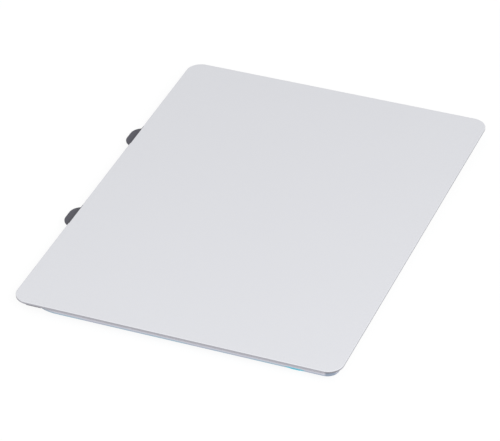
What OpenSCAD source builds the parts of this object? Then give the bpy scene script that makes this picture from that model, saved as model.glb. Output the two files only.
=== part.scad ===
// Click trackpad module for a portable computer, in millimetres.
// A glass plate bonded to a sensor board tilts on two spring leaves over a pressed steel frame.
// X runs along the long side, Y along the short side with the user at -Y, and Z is up.
// Z = 0 is the underside of the frame, where the module is screwed down.

/* [Touch plate] */
// Length of the glass plate
pad_w = 105; // [94:1:130]
// Depth of the glass plate
pad_d = 76; // [68:1:100]
// Corner radius of the glass plate
pad_corner_r = 3.7; // [2:0.1:6]
// Thickness of the glass plate
glass_t = 0.6; // [0.5:0.05:1.2]
// Bevel along the glass edges
glass_arris = 0.1; // [0.02:0.01:0.15]

/* [Sensor board] */
// Thickness of the adhesive film under the glass
adhesive_t = 0.1; // [0.05:0.01:0.3]
// Distance from the board's outline to the film's
adhesive_inset = 0.6; // [0.2:0.1:1.5]
// Thickness of the board
board_t = 0.8; // [0.4:0.05:1.6]
// Distance from the glass's short edges to the board
board_side_inset = 0.25; // [0.1:0.05:2]
// Distance from the glass's rear edge to the board
board_rear_inset = 0.8; // [0.1:0.05:1.2]
// Distance from the glass's front edge to the board
board_front_inset = 5.6; // [5:0.1:9]
// Corner radius of the board
board_corner_r = 2.7; // [2:0.1:6]
// Length of the short edges over which the board draws in towards its front corners
board_taper_l = 5.1; // [3:0.1:7]
// Radius of that draw-in
board_taper_r = 9; // [8:0.5:20]
// Radius of the board's tooling holes
board_hole_r = 0.75; // [0.4:0.05:1]
// Distance from the board's edges to a tooling hole
board_hole_edge = 3.4; // [2:0.1:5]

/* [Front stop plate] */
// Thickness of the stop plate
stop_plate_t = 0.25; // [0.15:0.05:0.4]
// Thickness of the film that holds the stop plate
stop_film_t = 0.05; // [0.03:0.01:0.1]
// Distance from the glass edge to the stop plate
stop_plate_inset = 0.2; // [0.1:0.05:1]
// Gap between the stop plate and the board
stop_plate_gap = 0.3; // [0.2:0.1:0.6]
// Distance from the stop plate's outline to the film's
stop_film_inset = 0.3; // [0.1:0.05:0.5]
// Distance between the middles of the two tabs
tab_spacing = 35.3; // [20:0.1:70]
// Width of a tab
tab_w = 8.1; // [6.5:0.1:14]
// Reach of a tab beyond the glass edge
tab_reach = 2.05; // [0.8:0.05:4]
// Corner radius of a tab
tab_corner_r = 3; // [0.5:0.1:3.2]

/* [Support frame] */
// Thickness of the frame's sheet
frame_t = 0.5; // [0.4:0.05:0.8]
// Height of the space between frame and board
under_gap = 1.3; // [1.3:0.05:2]
// Distance from the glass's short edges to the frame
frame_side_inset = 4; // [3:0.1:6]
// Distance from the glass's rear edge to the frame
frame_rear_inset = 3; // [2:0.1:5]
// Distance from the switch to the frame's front edge
frame_lead = 5.5; // [4.5:0.1:7]
// Corner radius of the frame
frame_corner_r = 4; // [1:0.1:4.4]
// Width of the side rails
side_rail_w = 6; // [5.5:0.1:8]
// Width of the rear rail
rear_rail_w = 8; // [7.5:0.1:10]
// Width of the front rail
front_rail_w = 7.5; // [7:0.1:10]
// Width of the middle spine
spine_w = 14; // [12:0.5:18]
// Width of the slot along the spine
spine_slot_w = 7; // [3.5:0.5:8]
// Width of the cross bars
crossbar_w = 4; // [2:0.1:6]
// Corner radius of the windows
window_r = 1.5; // [0.5:0.1:3.4]
// Width of the pressed beads
bead_w = 2.4; // [1.5:0.1:3]
// Height of the pressed beads
bead_h = 0.25; // [0.1:0.05:0.3]
// Wall of the pressed beads
bead_wall = 0.3; // [0.2:0.05:0.5]
// Distance from the nuts to the ends of the side beads
bead_end_gap = 8; // [4:0.5:14]
// Distance from the windows and the rubber stops to the ends of the front beads
front_bead_gap = 2; // [1:0.5:4]
// Distance from the front rail to the slot along the spine
spine_slot_front = 8; // [4:0.5:14]
// Distance from the cross bars to the rear end of the slot
spine_slot_rear = 6; // [2:0.5:8]
// Radius of the tooling holes in the rear rail
frame_hole_r = 1; // [0.5:0.1:1.5]
// Distance from the spine to the tooling holes in the rear rail
frame_hole_gap = 3; // [2:0.1:5]

/* [Fixing nuts] */
// Radius of the tapped bore
nut_bore_r = 0.8; // [0.6:0.05:1.1]
// Radius of the shank pressed into the frame
nut_shank_r = 1.5; // [1.4:0.05:1.8]
// Radius of the head above the frame
nut_head_r = 2; // [1.9:0.05:2.4]
// Height of the head above the frame
nut_head_h = 0.5; // [0.3:0.05:0.7]
// Distance from a fixing nut to the frame's short edge
nut_edge_side = 4.5; // [3.5:0.1:5]
// Distance from a front nut to the frame's front edge
nut_edge_front = 4; // [3.5:0.1:5]
// Distance from a rear nut to the frame's rear edge
nut_edge_rear = 5; // [3.5:0.1:5.5]

/* [Spring hinge] */
// Thickness of a spring leaf
leaf_t = 0.2; // [0.1:0.05:0.3]
// Width of a spring leaf
leaf_w = 22; // [18:0.5:24]
// Gap between a leaf and the heads of the rear nuts
leaf_nut_gap = 1; // [0.4:0.1:6]
// Corner radius of a spring leaf
leaf_corner_r = 1.5; // [0.5:0.1:3]
// Free length of a leaf between rail and block
hinge_span = 4; // [3:0.1:6]
// Length of a leaf on the rear rail
leaf_seat = 7; // [6:0.1:7.4]
// Width of the relief slot in a leaf
leaf_slot_w = 13; // [8:0.5:14]
// Distance from the rail and the block to the relief slot
leaf_slot_margin = 0.3; // [0.1:0.05:0.5]
// Corner radius of the relief slot
leaf_slot_r = 1; // [0.3:0.1:1.2]
// Depth of the hinge blocks
block_d = 6.5; // [5:0.1:8]
// Corner radius of the hinge blocks
block_corner_r = 1; // [0.3:0.1:2.4]
// Clear space in front of a hinge block
block_margin = 3.5; // [2:0.1:5]
// Radius of the bend groove in a leaf
groove_r = 0.08; // [0.03:0.01:0.09]
// Radius of a rivet
rivet_r = 0.75; // [0.5:0.05:1]
// Radius of a rivet's head
rivet_head_r = 1.4; // [1.2:0.05:1.8]
// Height of a rivet's head
rivet_head_h = 0.2; // [0.15:0.05:0.3]
// Bevel of a rivet's head
rivet_bevel = 0.1; // [0.03:0.01:0.1]
// Gap over a rivet's closed end
rivet_end_gap = 0.05; // [0.02:0.01:0.2]
// Distance between the two rivets at one end of a leaf
rivet_spacing = 12; // [8:0.5:14]

/* [Click switch] */
// Travel of the plunger in one click
click_travel = 0.3; // [0.15:0.01:0.3]
// Distance from the board's front edge to the switch
switch_edge = 3.9; // [2.8:0.1:5]
// Side of the switch base
switch_w = 4.6; // [4.4:0.1:5.2]
// Height of the switch base
switch_h = 0.65; // [0.62:0.01:0.7]
// Floor left under the dome
switch_floor = 0.1; // [0.05:0.01:0.1]
// Radius of the dome's chamber
chamber_r = 1.9; // [1.7:0.05:2.1]
// Width of the clips on the switch cover
cover_clip_w = 2.4; // [1.5:0.1:3.5]
// Height of the clips on the switch cover
cover_clip_h = 0.45; // [0.2:0.05:0.55]
// Clearance round the plunger in the cover
cover_hole_clear = 0.15; // [0.05:0.01:0.18]
// Thickness of the switch cover
cover_t = 0.1; // [0.08:0.01:0.12]
// Radius of the plunger's stem
plunger_r = 1; // [0.8:0.05:1.1]
// Radius of the plunger's collar
plunger_collar_r = 1.35; // [1.3:0.05:1.5]
// Reach of the plunger below the cover
plunger_reach = 0.2; // [0.15:0.01:0.22]
// Thickness of the plunger's collar
plunger_collar_h = 0.08; // [0.05:0.01:0.1]
// Gap between the plunger's collar and the cover
plunger_play = 0.02; // [0.01:0.01:0.04]
// Thickness of the snap dome
dome_t = 0.06; // [0.03:0.01:0.08]
// Gap between the snap dome and the plunger
dome_gap = 0.03; // [0.01:0.01:0.05]
// Gap between the snap dome and the chamber's wall
dome_rim_gap = 0.15; // [0.05:0.01:0.3]
// Length of a switch terminal
terminal_l = 0.7; // [0.4:0.05:1]
// Width of a switch terminal
terminal_w = 0.6; // [0.3:0.05:1]
// Thickness of a switch terminal
terminal_t = 0.12; // [0.05:0.01:0.2]
// Distance between the terminals on one side
terminal_pitch = 2.8; // [1.5:0.1:3.4]

/* [Click adjuster] */
// Radius of the adjusting screw
screw_r = 1; // [0.8:0.05:1]
// Radius of the screw's tip
screw_tip_r = 0.6; // [0.3:0.05:0.7]
// Height of the screw's tip
screw_tip_h = 0.13; // [0.05:0.01:0.2]
// Depth of the screw's end inside the collar
screw_recess = 0.05; // [0.02:0.01:0.15]
// Gap between the screw's tip and the plunger
screw_gap = 0.02; // [0.01:0.01:0.05]
// Radius of the collar's shank in the frame
collar_r = 1.9; // [1.6:0.05:2.2]
// Radius of the collar's flange
collar_flange_r = 2.5; // [2.3:0.05:3]
// Height of the collar's flange
collar_flange_h = 0.15; // [0.1:0.01:0.2]
// Width of a drive slot in the screw
drive_slot_w = 0.3; // [0.2:0.05:0.4]
// Length of a drive slot from the screw's middle
drive_slot_l = 0.75; // [0.4:0.05:0.75]
// Depth of a drive slot in the screw
drive_slot_h = 0.25; // [0.15:0.05:0.35]

/* [Down stops] */
// Radius of a rubber stop
stop_pad_r = 1.6; // [1:0.1:2]
// Distance from a front nut to a rubber stop
stop_pad_nut_gap = 8; // [5:0.1:12]
// Gap left over a rubber stop at the end of a click
stop_pad_clear = 0.05; // [0.03:0.01:0.15]

/* [Cable sockets] */
// Contacts in the host socket
host_contacts = 18; // [10:1:24]
// Contacts in the keyboard socket
keyboard_contacts = 12; // [8:1:16]
// Distance between contacts
contact_pitch = 0.5; // [0.4:0.05:0.6]
// Width of a contact's tail
contact_w = 0.22; // [0.15:0.01:0.3]
// Length of a contact's tail
contact_l = 0.65; // [0.4:0.05:1]
// Thickness of a contact's tail
contact_t = 0.12; // [0.08:0.01:0.2]
// Width of a solder anchor
anchor_w = 0.5; // [0.3:0.05:0.8]
// Depth of a solder anchor
anchor_d = 1.2; // [0.8:0.05:1.6]
// Height of a solder anchor
anchor_h = 0.4; // [0.2:0.05:0.8]
// Distance from the socket's mouth to a solder anchor
anchor_edge = 0.5; // [0.2:0.05:1]
// Depth of a socket
socket_d = 3.6; // [3.4:0.1:4.2]
// Height of a socket
socket_h = 1; // [1:0.05:1.1]
// Length of a socket beyond its end contacts
socket_end = 1.5; // [1.4:0.1:2]
// Depth of the shelf that carries the latch
latch_shelf_d = 1.7; // [1.7:0.05:1.9]
// Height of the shelf that carries the latch
latch_shelf_h = 0.35; // [0.25:0.01:0.35]
// Thickness of the cheeks that hold a latch
cheek_t = 0.45; // [0.4:0.05:0.6]
// Reach of a cheek in front of the pivot
cheek_reach = 0.45; // [0.35:0.05:0.7]
// Gap between a latch and the cheeks
latch_gap = 0.1; // [0.05:0.01:0.2]
// Gap between a latch and the socket behind it
latch_clear = 0.15; // [0.1:0.01:0.2]
// Gap between a latch and its shelf
latch_lift = 0.08; // [0.05:0.01:0.1]
// Reach of a latch beyond the socket
latch_overhang = 0.1; // [0:0.05:0.3]
// Thickness of a latch
latch_t = 0.5; // [0.46:0.01:0.5]
// Radius of a latch's pivot pins
latch_pin_r = 0.2; // [0.15:0.01:0.2]
// Length of a latch's pivot pins
latch_pin_l = 0.35; // [0.2:0.05:0.35]
// Height of the cable slot
cable_slot_h = 0.3; // [0.2:0.05:0.35]
// Wall at each end of the cable slot
cable_slot_wall = 1; // [0.5:0.1:1.3]
// Depth of the cable slot
cable_slot_d = 1.4; // [1:0.1:1.4]

/* [Electronics] */
// Distance from the spine and the side rails to the pieces between them
part_margin = 2.5; // [1.5:0.1:4]
// Distance from the cross bars to the sockets and the shield
row_margin = 3; // [2:0.1:4]
// Distance from the row of resistors to the chips
chip_margin = 3.5; // [3:0.1:5]
// Length of the shield
shield_w = 15; // [12:0.5:18]
// Depth of the shield
shield_d = 13; // [10:0.5:14]
// Height of the shield fence
shield_h = 0.8; // [0.75:0.05:0.9]
// Thickness of the shield's sheet
shield_t = 0.15; // [0.1:0.01:0.2]
// Width of the fence's inner lip
shield_lip = 0.8; // [0.3:0.1:1.5]
// Gap between fence and lid
lid_gap = 0.03; // [0.02:0.01:0.1]
// Depth of the lid's skirt
lid_skirt = 0.45; // [0.2:0.05:0.65]
// Radius of the lid's vents
vent_r = 0.5; // [0.2:0.05:1]
// Distance between vents along the lid
vent_pitch_x = 4.2; // [3:0.1:5]
// Distance between vents across the lid
vent_pitch_y = 6.5; // [3:0.1:8]
// Side of the touch controller
controller_w = 9; // [7.5:0.5:10]
// Height of the touch controller
controller_h = 0.75; // [0.5:0.05:0.9]
// Side of the driver chip
driver_w = 7; // [5:0.5:8]
// Height of the driver chip
driver_h = 0.55; // [0.4:0.05:0.6]
// Leads on each side of the touch controller
controller_leads = 14; // [8:1:14]
// Distance between the touch controller's leads
controller_pitch = 0.5; // [0.4:0.05:0.55]
// Width of the touch controller's leads
controller_lead_w = 0.26; // [0.15:0.01:0.3]
// Length of the touch controller's leads
controller_lead_l = 0.3; // [0.15:0.05:0.5]
// Height of the touch controller's leads
controller_lead_h = 0.2; // [0.1:0.05:0.4]
// Length of the memory chip
memory_w = 5; // [4.6:0.1:6]
// Depth of the memory chip
memory_d = 4; // [3.5:0.1:5]
// Height of the memory chip
memory_h = 0.77; // [0.6:0.01:0.85]
// Length of the voltage regulator
regulator_w = 2.9; // [2.5:0.1:3.2]
// Depth of the voltage regulator
regulator_d = 1.6; // [1.4:0.1:2]
// Height of the voltage regulator
regulator_h = 0.8; // [0.6:0.05:0.85]
// Height of the chips with bent leads above the board
body_lift = 0.08; // [0.03:0.01:0.15]
// Reach of a bent lead
lead_l = 0.95; // [0.7:0.05:1.2]
// Width of a bent lead
lead_w = 0.4; // [0.25:0.05:0.5]
// Thickness of a bent lead
lead_t = 0.14; // [0.08:0.01:0.2]
// Height at which a bent lead leaves its chip
lead_rise = 0.36; // [0.25:0.01:0.4]
// Length of a bent lead's upper part
lead_shoulder = 0.3; // [0.15:0.05:0.4]
// Distance between the memory chip's leads
memory_pitch = 1.27; // [1:0.01:1.3]
// Distance between the voltage regulator's leads
regulator_pitch = 0.95; // [0.7:0.05:1]
// Length of the crystal
crystal_w = 3.2; // [2.5:0.1:4]
// Depth of the crystal
crystal_d = 2.5; // [2:0.1:3]
// Height of the crystal
crystal_h = 0.7; // [0.5:0.05:0.9]
// Corner radius of the crystal
crystal_r = 0.4; // [0.2:0.05:0.6]
// Side of the inductor
inductor_w = 3; // [2.5:0.1:3.5]
// Height of the inductor
inductor_h = 1; // [0.7:0.05:1]
// Corner radius of the inductor
inductor_r = 0.5; // [0.2:0.05:0.8]
// Length of a small capacitor or resistor
passive_l = 1; // [0.8:0.1:1.1]
// Width of a small capacitor or resistor
passive_w = 0.5; // [0.4:0.05:0.6]
// Height of a small capacitor
passive_h = 0.5; // [0.3:0.05:0.6]
// Height of a resistor
resistor_h = 0.35; // [0.2:0.05:0.5]
// Length of a metal end on a small capacitor or resistor
passive_cap = 0.22; // [0.1:0.01:0.3]
// Distance from a chip's edge to the small pieces beside it
passive_gap = 2; // [1.6:0.1:2.4]
// Distance between small pieces beside a chip
passive_pitch = 1.8; // [1.5:0.1:2]
// Distance from the host socket to the row of resistors
resistor_row_gap = 4; // [2:0.1:5]
// Distance from the shield to the resistor field
resistor_field_gap = 4.5; // [4:0.1:5]
// Distance between rows of the resistor field
resistor_field_pitch = 2.4; // [1.2:0.1:2.6]
// Distance between bulk capacitors
bulk_pitch = 4; // [3:0.1:5]
// Length of a bulk capacitor
bulk_l = 2; // [1.6:0.1:2.4]
// Width of a bulk capacitor
bulk_w = 1.25; // [1:0.05:1.6]
// Height of a bulk capacitor
bulk_h = 0.85; // [0.6:0.05:0.9]
// Length of a metal end on a bulk capacitor
bulk_cap = 0.4; // [0.2:0.05:0.6]

/* [Fits] */
// Radial clearance of rivets, nuts and collar in their holes
seat_clear = 0.02; // [0.01:0.01:0.05]
// Radial clearance of pieces that turn
turn_clear = 0.03; // [0.01:0.01:0.06]

/* [Hidden] */
$fn = 64;
eps = 0.05;

// Levels
z_leaf = frame_t;
z_block = z_leaf + leaf_t;
z_board = frame_t + under_gap;
z_board_top = z_board + board_t;
z_glass = z_board_top + adhesive_t;
z_stop_plate = z_glass - stop_film_t - stop_plate_t;

// Board outline
board_x = pad_w / 2 - board_side_inset;
board_y0 = -pad_d / 2 + board_front_inset;
board_y1 = pad_d / 2 - board_rear_inset;
stop_plate_d = board_front_inset - stop_plate_gap;

// Switch and frame outline
switch_y = board_y0 + switch_edge;
frame_x = pad_w / 2 - frame_side_inset;
frame_y0 = switch_y - frame_lead;
frame_y1 = pad_d / 2 - frame_rear_inset;

// Fixing nuts and rubber stops
nut_x = frame_x - nut_edge_side;
nut_y0 = frame_y0 + nut_edge_front;
nut_y1 = frame_y1 - nut_edge_rear;
nut_sites = [for (x = [-nut_x, nut_x], y = [nut_y0, nut_y1]) [x, y]];
stop_pad_x = nut_x - stop_pad_nut_gap;

// Hinge line, leaves and blocks
leaf_x = nut_x - nut_head_r - leaf_nut_gap - leaf_w / 2;
hinge_y = frame_y1 - rear_rail_w - hinge_span / 2;
block_y1 = hinge_y - hinge_span / 2;
block_y0 = block_y1 - block_d;
leaf_y1 = hinge_y + hinge_span / 2 + leaf_seat;
rear_rivet_y = hinge_y + hinge_span / 2 + leaf_seat / 2;
front_rivet_y = block_y0 + block_d / 2;
rivet_xs = [for (s = [-1, 1], k = [-1, 1]) s * leaf_x + k * rivet_spacing / 2];

// Frame windows
window_x0 = spine_w / 2;
window_x1 = frame_x - side_rail_w;
window_w = window_x1 - window_x0;
crossbar_y1 = block_y0 - block_margin;
crossbar_y0 = crossbar_y1 - crossbar_w;
window_y0 = frame_y0 + front_rail_w;
front_bead_x0 = window_x0 + front_bead_gap;
front_bead_x1 = stop_pad_x - stop_pad_r - front_bead_gap;

// Click geometry
click_slope = click_travel / (hinge_y - switch_y);
stop_pad_h = under_gap - (hinge_y - nut_y0) * click_slope - stop_pad_clear;
z_cover = z_board - switch_h - cover_t;
z_plunger = z_cover - plunger_reach;
z_screw_tip = z_plunger - screw_gap;
z_screw_end = z_screw_tip - screw_tip_h;
dome_rim_r = chamber_r - dome_rim_gap;
dome_rise = switch_h - switch_floor - plunger_play - plunger_collar_h - dome_gap;
dome_r = (dome_rim_r * dome_rim_r + dome_rise * dome_rise) / (2 * dome_rise);

// Sockets, with heights counted down from the board
pivot_y = latch_shelf_d - latch_t / 2 - latch_clear;
pivot_h = latch_shelf_h + latch_t / 2 + latch_lift;
socket_y = crossbar_y0 - row_margin - socket_d;
socket_gap = (window_w - socket_w(host_contacts) - socket_w(keyboard_contacts)) / 3;
host_x = window_x0 + socket_gap + socket_w(host_contacts) / 2;
keyboard_x = window_x1 - socket_gap - socket_w(keyboard_contacts) / 2;

// Chips and other small pieces
shield_x = -window_x0 - part_margin - shield_w / 2;
shield_y = crossbar_y0 - row_margin - shield_d / 2;
controller_x = (shield_x - shield_w / 2 - window_x1) / 2;
chip_row_y = socket_y - resistor_row_gap - passive_l / 2 - chip_margin - memory_d / 2;
chip_gap = (window_w - memory_w - regulator_w - inductor_w - crystal_w) / 5;
memory_x = window_x0 + chip_gap + memory_w / 2;
regulator_x = memory_x + memory_w / 2 + chip_gap + regulator_w / 2;
inductor_x = regulator_x + regulator_w / 2 + chip_gap + inductor_w / 2;
crystal_x = inductor_x + inductor_w / 2 + chip_gap + crystal_w / 2;
regulator_cap_y = chip_row_y - regulator_d / 2 - lead_l - passive_gap;
crystal_cap_y = chip_row_y - crystal_d / 2 - passive_gap;
resistor_field_y = shield_y - shield_d / 2 - resistor_field_gap;
front_row_y = (window_y0 + resistor_field_y - resistor_field_pitch) / 2;
capacitor_sites = concat(
    [for (i = [-2:2]) [controller_x - controller_w / 2 - passive_gap, shield_y + passive_pitch * i, 0]],
    [for (i = [-2:2]) [controller_x + passive_pitch * i, shield_y - controller_w / 2 - passive_gap, 90]],
    [for (i = [-1, 1]) [regulator_x + passive_pitch / 2 * i, regulator_cap_y, 90]],
    [for (i = [-1, 1]) [crystal_x + passive_pitch / 2 * i, crystal_cap_y, 90]],
    [for (i = [0:5]) [spread(i, 6), front_row_y, 0]]
);
resistor_sites = concat(
    [for (i = [0:8], j = [0, 1]) [-spread(i, 9), resistor_field_y - resistor_field_pitch * j, 0]],
    [for (i = [0:9]) [spread(i, 10), socket_y - resistor_row_gap, 90]]
);
bulk_sites = [for (i = [-1:1]) [controller_x + bulk_pitch * i, front_row_y, 90]];

function socket_w(n) = (n - 1) * contact_pitch + 2 * socket_end;

// Place of piece i when n pieces are spread evenly between the spine and a side rail
function spread(i, n) = window_x0 + part_margin + (window_w - 2 * part_margin) * (i + 0.5) / n;

// Flat outline of a rectangle with round corners, about the origin
module rounded_rect(w, d, r) {
    square([w - 2 * r, d], center = true);
    square([w, d - 2 * r], center = true);
    for (x = [-1, 1], y = [-1, 1])
        translate([x * (w / 2 - r), y * (d / 2 - r)])
            circle(r = r);
}

// Flat outline of a rectangle with round corners, from its limits
module rect_span(x0, x1, y0, y1, r) {
    translate([(x0 + x1) / 2, (y0 + y1) / 2])
        rounded_rect(x1 - x0, y1 - y0, r);
}

// Section of a plate of width w and thickness t with bevels c, drawn across the plate
module bevelled_section(w, t, c) {
    polygon([
        [-w / 2 + c, 0],
        [w / 2 - c, 0],
        [w / 2, c],
        [w / 2, t - c],
        [w / 2 - c, t],
        [-w / 2 + c, t],
        [-w / 2, t - c],
        [-w / 2, c]
    ]);
}

// Plate with round corners r and bevels c on its upper and lower edges
module bevelled_plate(w, d, t, r, c) {
    rotate([90, 0, 90])
        linear_extrude(w - 2 * r, center = true)
            bevelled_section(d, t, c);
    rotate([90, 0, 0])
        linear_extrude(d - 2 * r, center = true)
            bevelled_section(w, t, c);
    for (x = [-1, 1], y = [-1, 1])
        translate([x * (w / 2 - r), y * (d / 2 - r), 0])
            rotate_extrude()
                polygon([[0, 0], [r - c, 0], [r, c], [r, t - c], [r - c, t], [0, t]]);
}

// Places a piece on the board's underside, with its Z counted downwards
module under_board(x, y) {
    translate([x, y, z_board])
        mirror([0, 0, 1])
            children();
}

// Block centred in X and Y that stands on Z = 0
module chip(w, d, h) {
    translate([-w / 2, -d / 2, 0])
        cube([w, d, h]);
}

// Pressed bead: raised above the sheet and hollow below it
module bead_outline(len, w) {
    square([len - w, w], center = true);
    for (s = [-1, 1])
        translate([s * (len - w) / 2, 0])
            circle(r = w / 2);
}

module bead_sites(w) {
    for (s = [-1, 1]) {
        translate([s * (frame_x - side_rail_w / 2), (nut_y0 + nut_y1) / 2])
            rotate(90)
                bead_outline(nut_y1 - nut_y0 - 2 * bead_end_gap, w);
        translate([s * (front_bead_x0 + front_bead_x1) / 2, frame_y0 + front_rail_w / 2])
            bead_outline(front_bead_x1 - front_bead_x0, w);
    }
}

// Rivet that stands on its head, with the shank upwards
module rivet(shank) {
    rotate_extrude()
        polygon([
            [0, -rivet_head_h],
            [rivet_head_r - rivet_bevel, -rivet_head_h],
            [rivet_head_r, -rivet_head_h + rivet_bevel],
            [rivet_head_r, 0],
            [rivet_r, 0],
            [rivet_r, shank],
            [0, shank]
        ]);
}

module touch_glass() {
    color("gainsboro")
        translate([0, 0, z_glass])
            bevelled_plate(pad_w, pad_d, glass_t, pad_corner_r, glass_arris);
}

module glass_adhesive() {
    color("white")
        translate([0, 0, z_board_top])
            linear_extrude(adhesive_t)
                rect_span(
                    -board_x + adhesive_inset,
                    board_x - adhesive_inset,
                    board_y0 + adhesive_inset,
                    board_y1 - adhesive_inset,
                    board_corner_r - adhesive_inset
                );
}

// Outline of the board: round corners, the short edges drawn in towards the front ones
module board_outline() {
    intersection() {
        rect_span(-board_x, board_x, board_y0, board_y1, board_corner_r);
        rect_span(
            -board_x,
            board_x,
            board_y0 + board_taper_l - board_taper_r,
            board_y1 + board_taper_r,
            board_taper_r
        );
    }
}

module sensor_board() {
    color("steelblue")
        translate([0, 0, z_board])
            linear_extrude(board_t)
                difference() {
                    board_outline();
                    for (x = [-1, 1], y = [board_y0 + board_hole_edge, board_y1 - board_hole_edge])
                        translate([x * (board_x - board_hole_edge), y])
                            circle(r = board_hole_r);
                }
}

// Strip along the front edge of the glass, inset from its outline
module front_strip(inset, rear_inset) {
    intersection() {
        rounded_rect(pad_w - 2 * inset, pad_d - 2 * inset, pad_corner_r - inset);
        translate([-pad_w / 2, -pad_d / 2])
            square([pad_w, stop_plate_d - rear_inset]);
    }
}

module front_stop_plate() {
    color("dimgray")
        translate([0, 0, z_stop_plate])
            linear_extrude(stop_plate_t) {
                front_strip(stop_plate_inset, 0);
                for (s = [-1, 1])
                    rect_span(
                        s * tab_spacing / 2 - tab_w / 2,
                        s * tab_spacing / 2 + tab_w / 2,
                        -pad_d / 2 - tab_reach,
                        -pad_d / 2 + stop_plate_d - stop_film_inset,
                        tab_corner_r
                    );
            }
}

module stop_plate_film() {
    color("white")
        translate([0, 0, z_stop_plate + stop_plate_t])
            linear_extrude(stop_film_t)
                front_strip(stop_plate_inset + stop_film_inset, stop_film_inset);
}

module hinge_blocks() {
    color("silver")
        translate([0, 0, z_block])
            linear_extrude(z_board - z_block)
                difference() {
                    for (s = [-1, 1])
                        rect_span(
                            s * leaf_x - leaf_w / 2,
                            s * leaf_x + leaf_w / 2,
                            block_y0,
                            block_y1,
                            block_corner_r
                        );
                    for (x = rivet_xs)
                        translate([x, front_rivet_y])
                            circle(r = rivet_r + seat_clear);
                }
}

module pad_rivets() {
    color("gray")
        for (x = rivet_xs)
            translate([x, front_rivet_y, z_leaf])
                rivet(z_board - z_leaf - rivet_end_gap);
}

module switch_base() {
    color("black")
        under_board(0, switch_y)
            difference() {
                chip(switch_w, switch_w, switch_h);
                translate([0, 0, switch_floor])
                    cylinder(h = switch_h, r = chamber_r);
            }
}

module switch_dome() {
    color("goldenrod")
        under_board(0, switch_y)
            difference() {
                translate([0, 0, switch_floor + dome_rise - dome_r])
                    sphere(r = dome_r);
                translate([0, 0, switch_floor + dome_rise - dome_r])
                    sphere(r = dome_r - dome_t);
                translate([-dome_r - 1, -dome_r - 1, switch_floor - 2 * dome_r - 2])
                    cube([2 * dome_r + 2, 2 * dome_r + 2, 2 * dome_r + 2]);
            }
}

module switch_cover() {
    color("silver")
        under_board(0, switch_y)
            difference() {
                union() {
                    translate([0, 0, switch_h])
                        chip(switch_w, switch_w, cover_t);
                    translate([0, 0, switch_h - cover_clip_h])
                        chip(cover_clip_w, switch_w + 2 * cover_t, cover_clip_h + cover_t);
                }
                translate([0, 0, switch_h - cover_clip_h - eps])
                    chip(cover_clip_w + eps, switch_w, cover_clip_h + eps);
                cylinder(h = switch_h + cover_t + eps, r = plunger_r + cover_hole_clear);
            }
}

module switch_terminals() {
    color("silver")
        under_board(0, switch_y)
            for (x = [-1, 1], y = [-1, 1])
                translate([x * (switch_w + terminal_l) / 2, y * terminal_pitch / 2, 0])
                    chip(terminal_l, terminal_w, terminal_t);
}

module switch_plunger() {
    color("dimgray")
        under_board(0, switch_y) {
            translate([0, 0, switch_h - plunger_play - plunger_collar_h])
                cylinder(h = plunger_collar_h, r = plunger_collar_r);
            translate([0, 0, switch_h - plunger_play - plunger_collar_h])
                cylinder(h = plunger_play + plunger_collar_h + cover_t + plunger_reach, r = plunger_r);
        }
}

// Socket housing with its mouth at +Y and the latch's shelf at -Y
module socket_housing(n) {
    w = socket_w(n);
    color("ivory")
        difference() {
            union() {
                translate([-w / 2, 0, 0])
                    cube([w, socket_d, latch_shelf_h]);
                translate([-w / 2, latch_shelf_d, 0])
                    cube([w, socket_d - latch_shelf_d, socket_h]);
                for (s = [-1, 1])
                    translate([s * (w - cheek_t) / 2 - cheek_t / 2, pivot_y - cheek_reach, 0])
                        cube([cheek_t, latch_shelf_d - pivot_y + cheek_reach, socket_h]);
            }
            translate([-w / 2 + cable_slot_wall, socket_d - cable_slot_d, latch_shelf_h])
                cube([w - 2 * cable_slot_wall, cable_slot_d + eps, cable_slot_h]);
            translate([0, pivot_y, pivot_h])
                rotate([0, 90, 0])
                    cylinder(h = w + 2 * eps, r = latch_pin_r + turn_clear, center = true);
        }
}

module socket_contacts(n) {
    color("gold")
        for (i = [0:n - 1])
            translate([(i - (n - 1) / 2) * contact_pitch - contact_w / 2, -contact_l, 0])
                cube([contact_w, contact_l, contact_t]);
}

module socket_anchors(n) {
    color("silver")
        for (s = [-1, 1])
            translate([s * (socket_w(n) + anchor_w) / 2, socket_d - anchor_edge - anchor_d / 2, 0])
                chip(anchor_w, anchor_d, anchor_h);
}

module socket_latch(n) {
    w = socket_w(n) - 2 * (cheek_t + latch_gap);
    color("saddlebrown") {
        translate([0, pivot_y, pivot_h])
            rotate([0, 90, 0])
                cylinder(h = w, r = latch_t / 2, center = true);
        translate([-w / 2, -latch_overhang, pivot_h - latch_t / 2])
            cube([w, pivot_y + latch_overhang, latch_t]);
        translate([0, pivot_y, pivot_h])
            rotate([0, 90, 0])
                cylinder(h = w + 2 * (latch_gap + latch_pin_l), r = latch_pin_r, center = true);
    }
}

module host_socket_housing() {
    under_board(host_x, socket_y)
        socket_housing(host_contacts);
}

module host_socket_contacts() {
    under_board(host_x, socket_y)
        socket_contacts(host_contacts);
}

module host_socket_anchors() {
    under_board(host_x, socket_y)
        socket_anchors(host_contacts);
}

module host_socket_latch() {
    under_board(host_x, socket_y)
        socket_latch(host_contacts);
}

module keyboard_socket_housing() {
    under_board(keyboard_x, socket_y)
        socket_housing(keyboard_contacts);
}

module keyboard_socket_contacts() {
    under_board(keyboard_x, socket_y)
        socket_contacts(keyboard_contacts);
}

module keyboard_socket_anchors() {
    under_board(keyboard_x, socket_y)
        socket_anchors(keyboard_contacts);
}

module keyboard_socket_latch() {
    under_board(keyboard_x, socket_y)
        socket_latch(keyboard_contacts);
}

module touch_controller() {
    color("black")
        under_board(controller_x, shield_y)
            chip(controller_w, controller_w, controller_h);
}

module driver_chip() {
    color("black")
        under_board(shield_x, shield_y)
            chip(driver_w, driver_w, driver_h);
}

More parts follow.
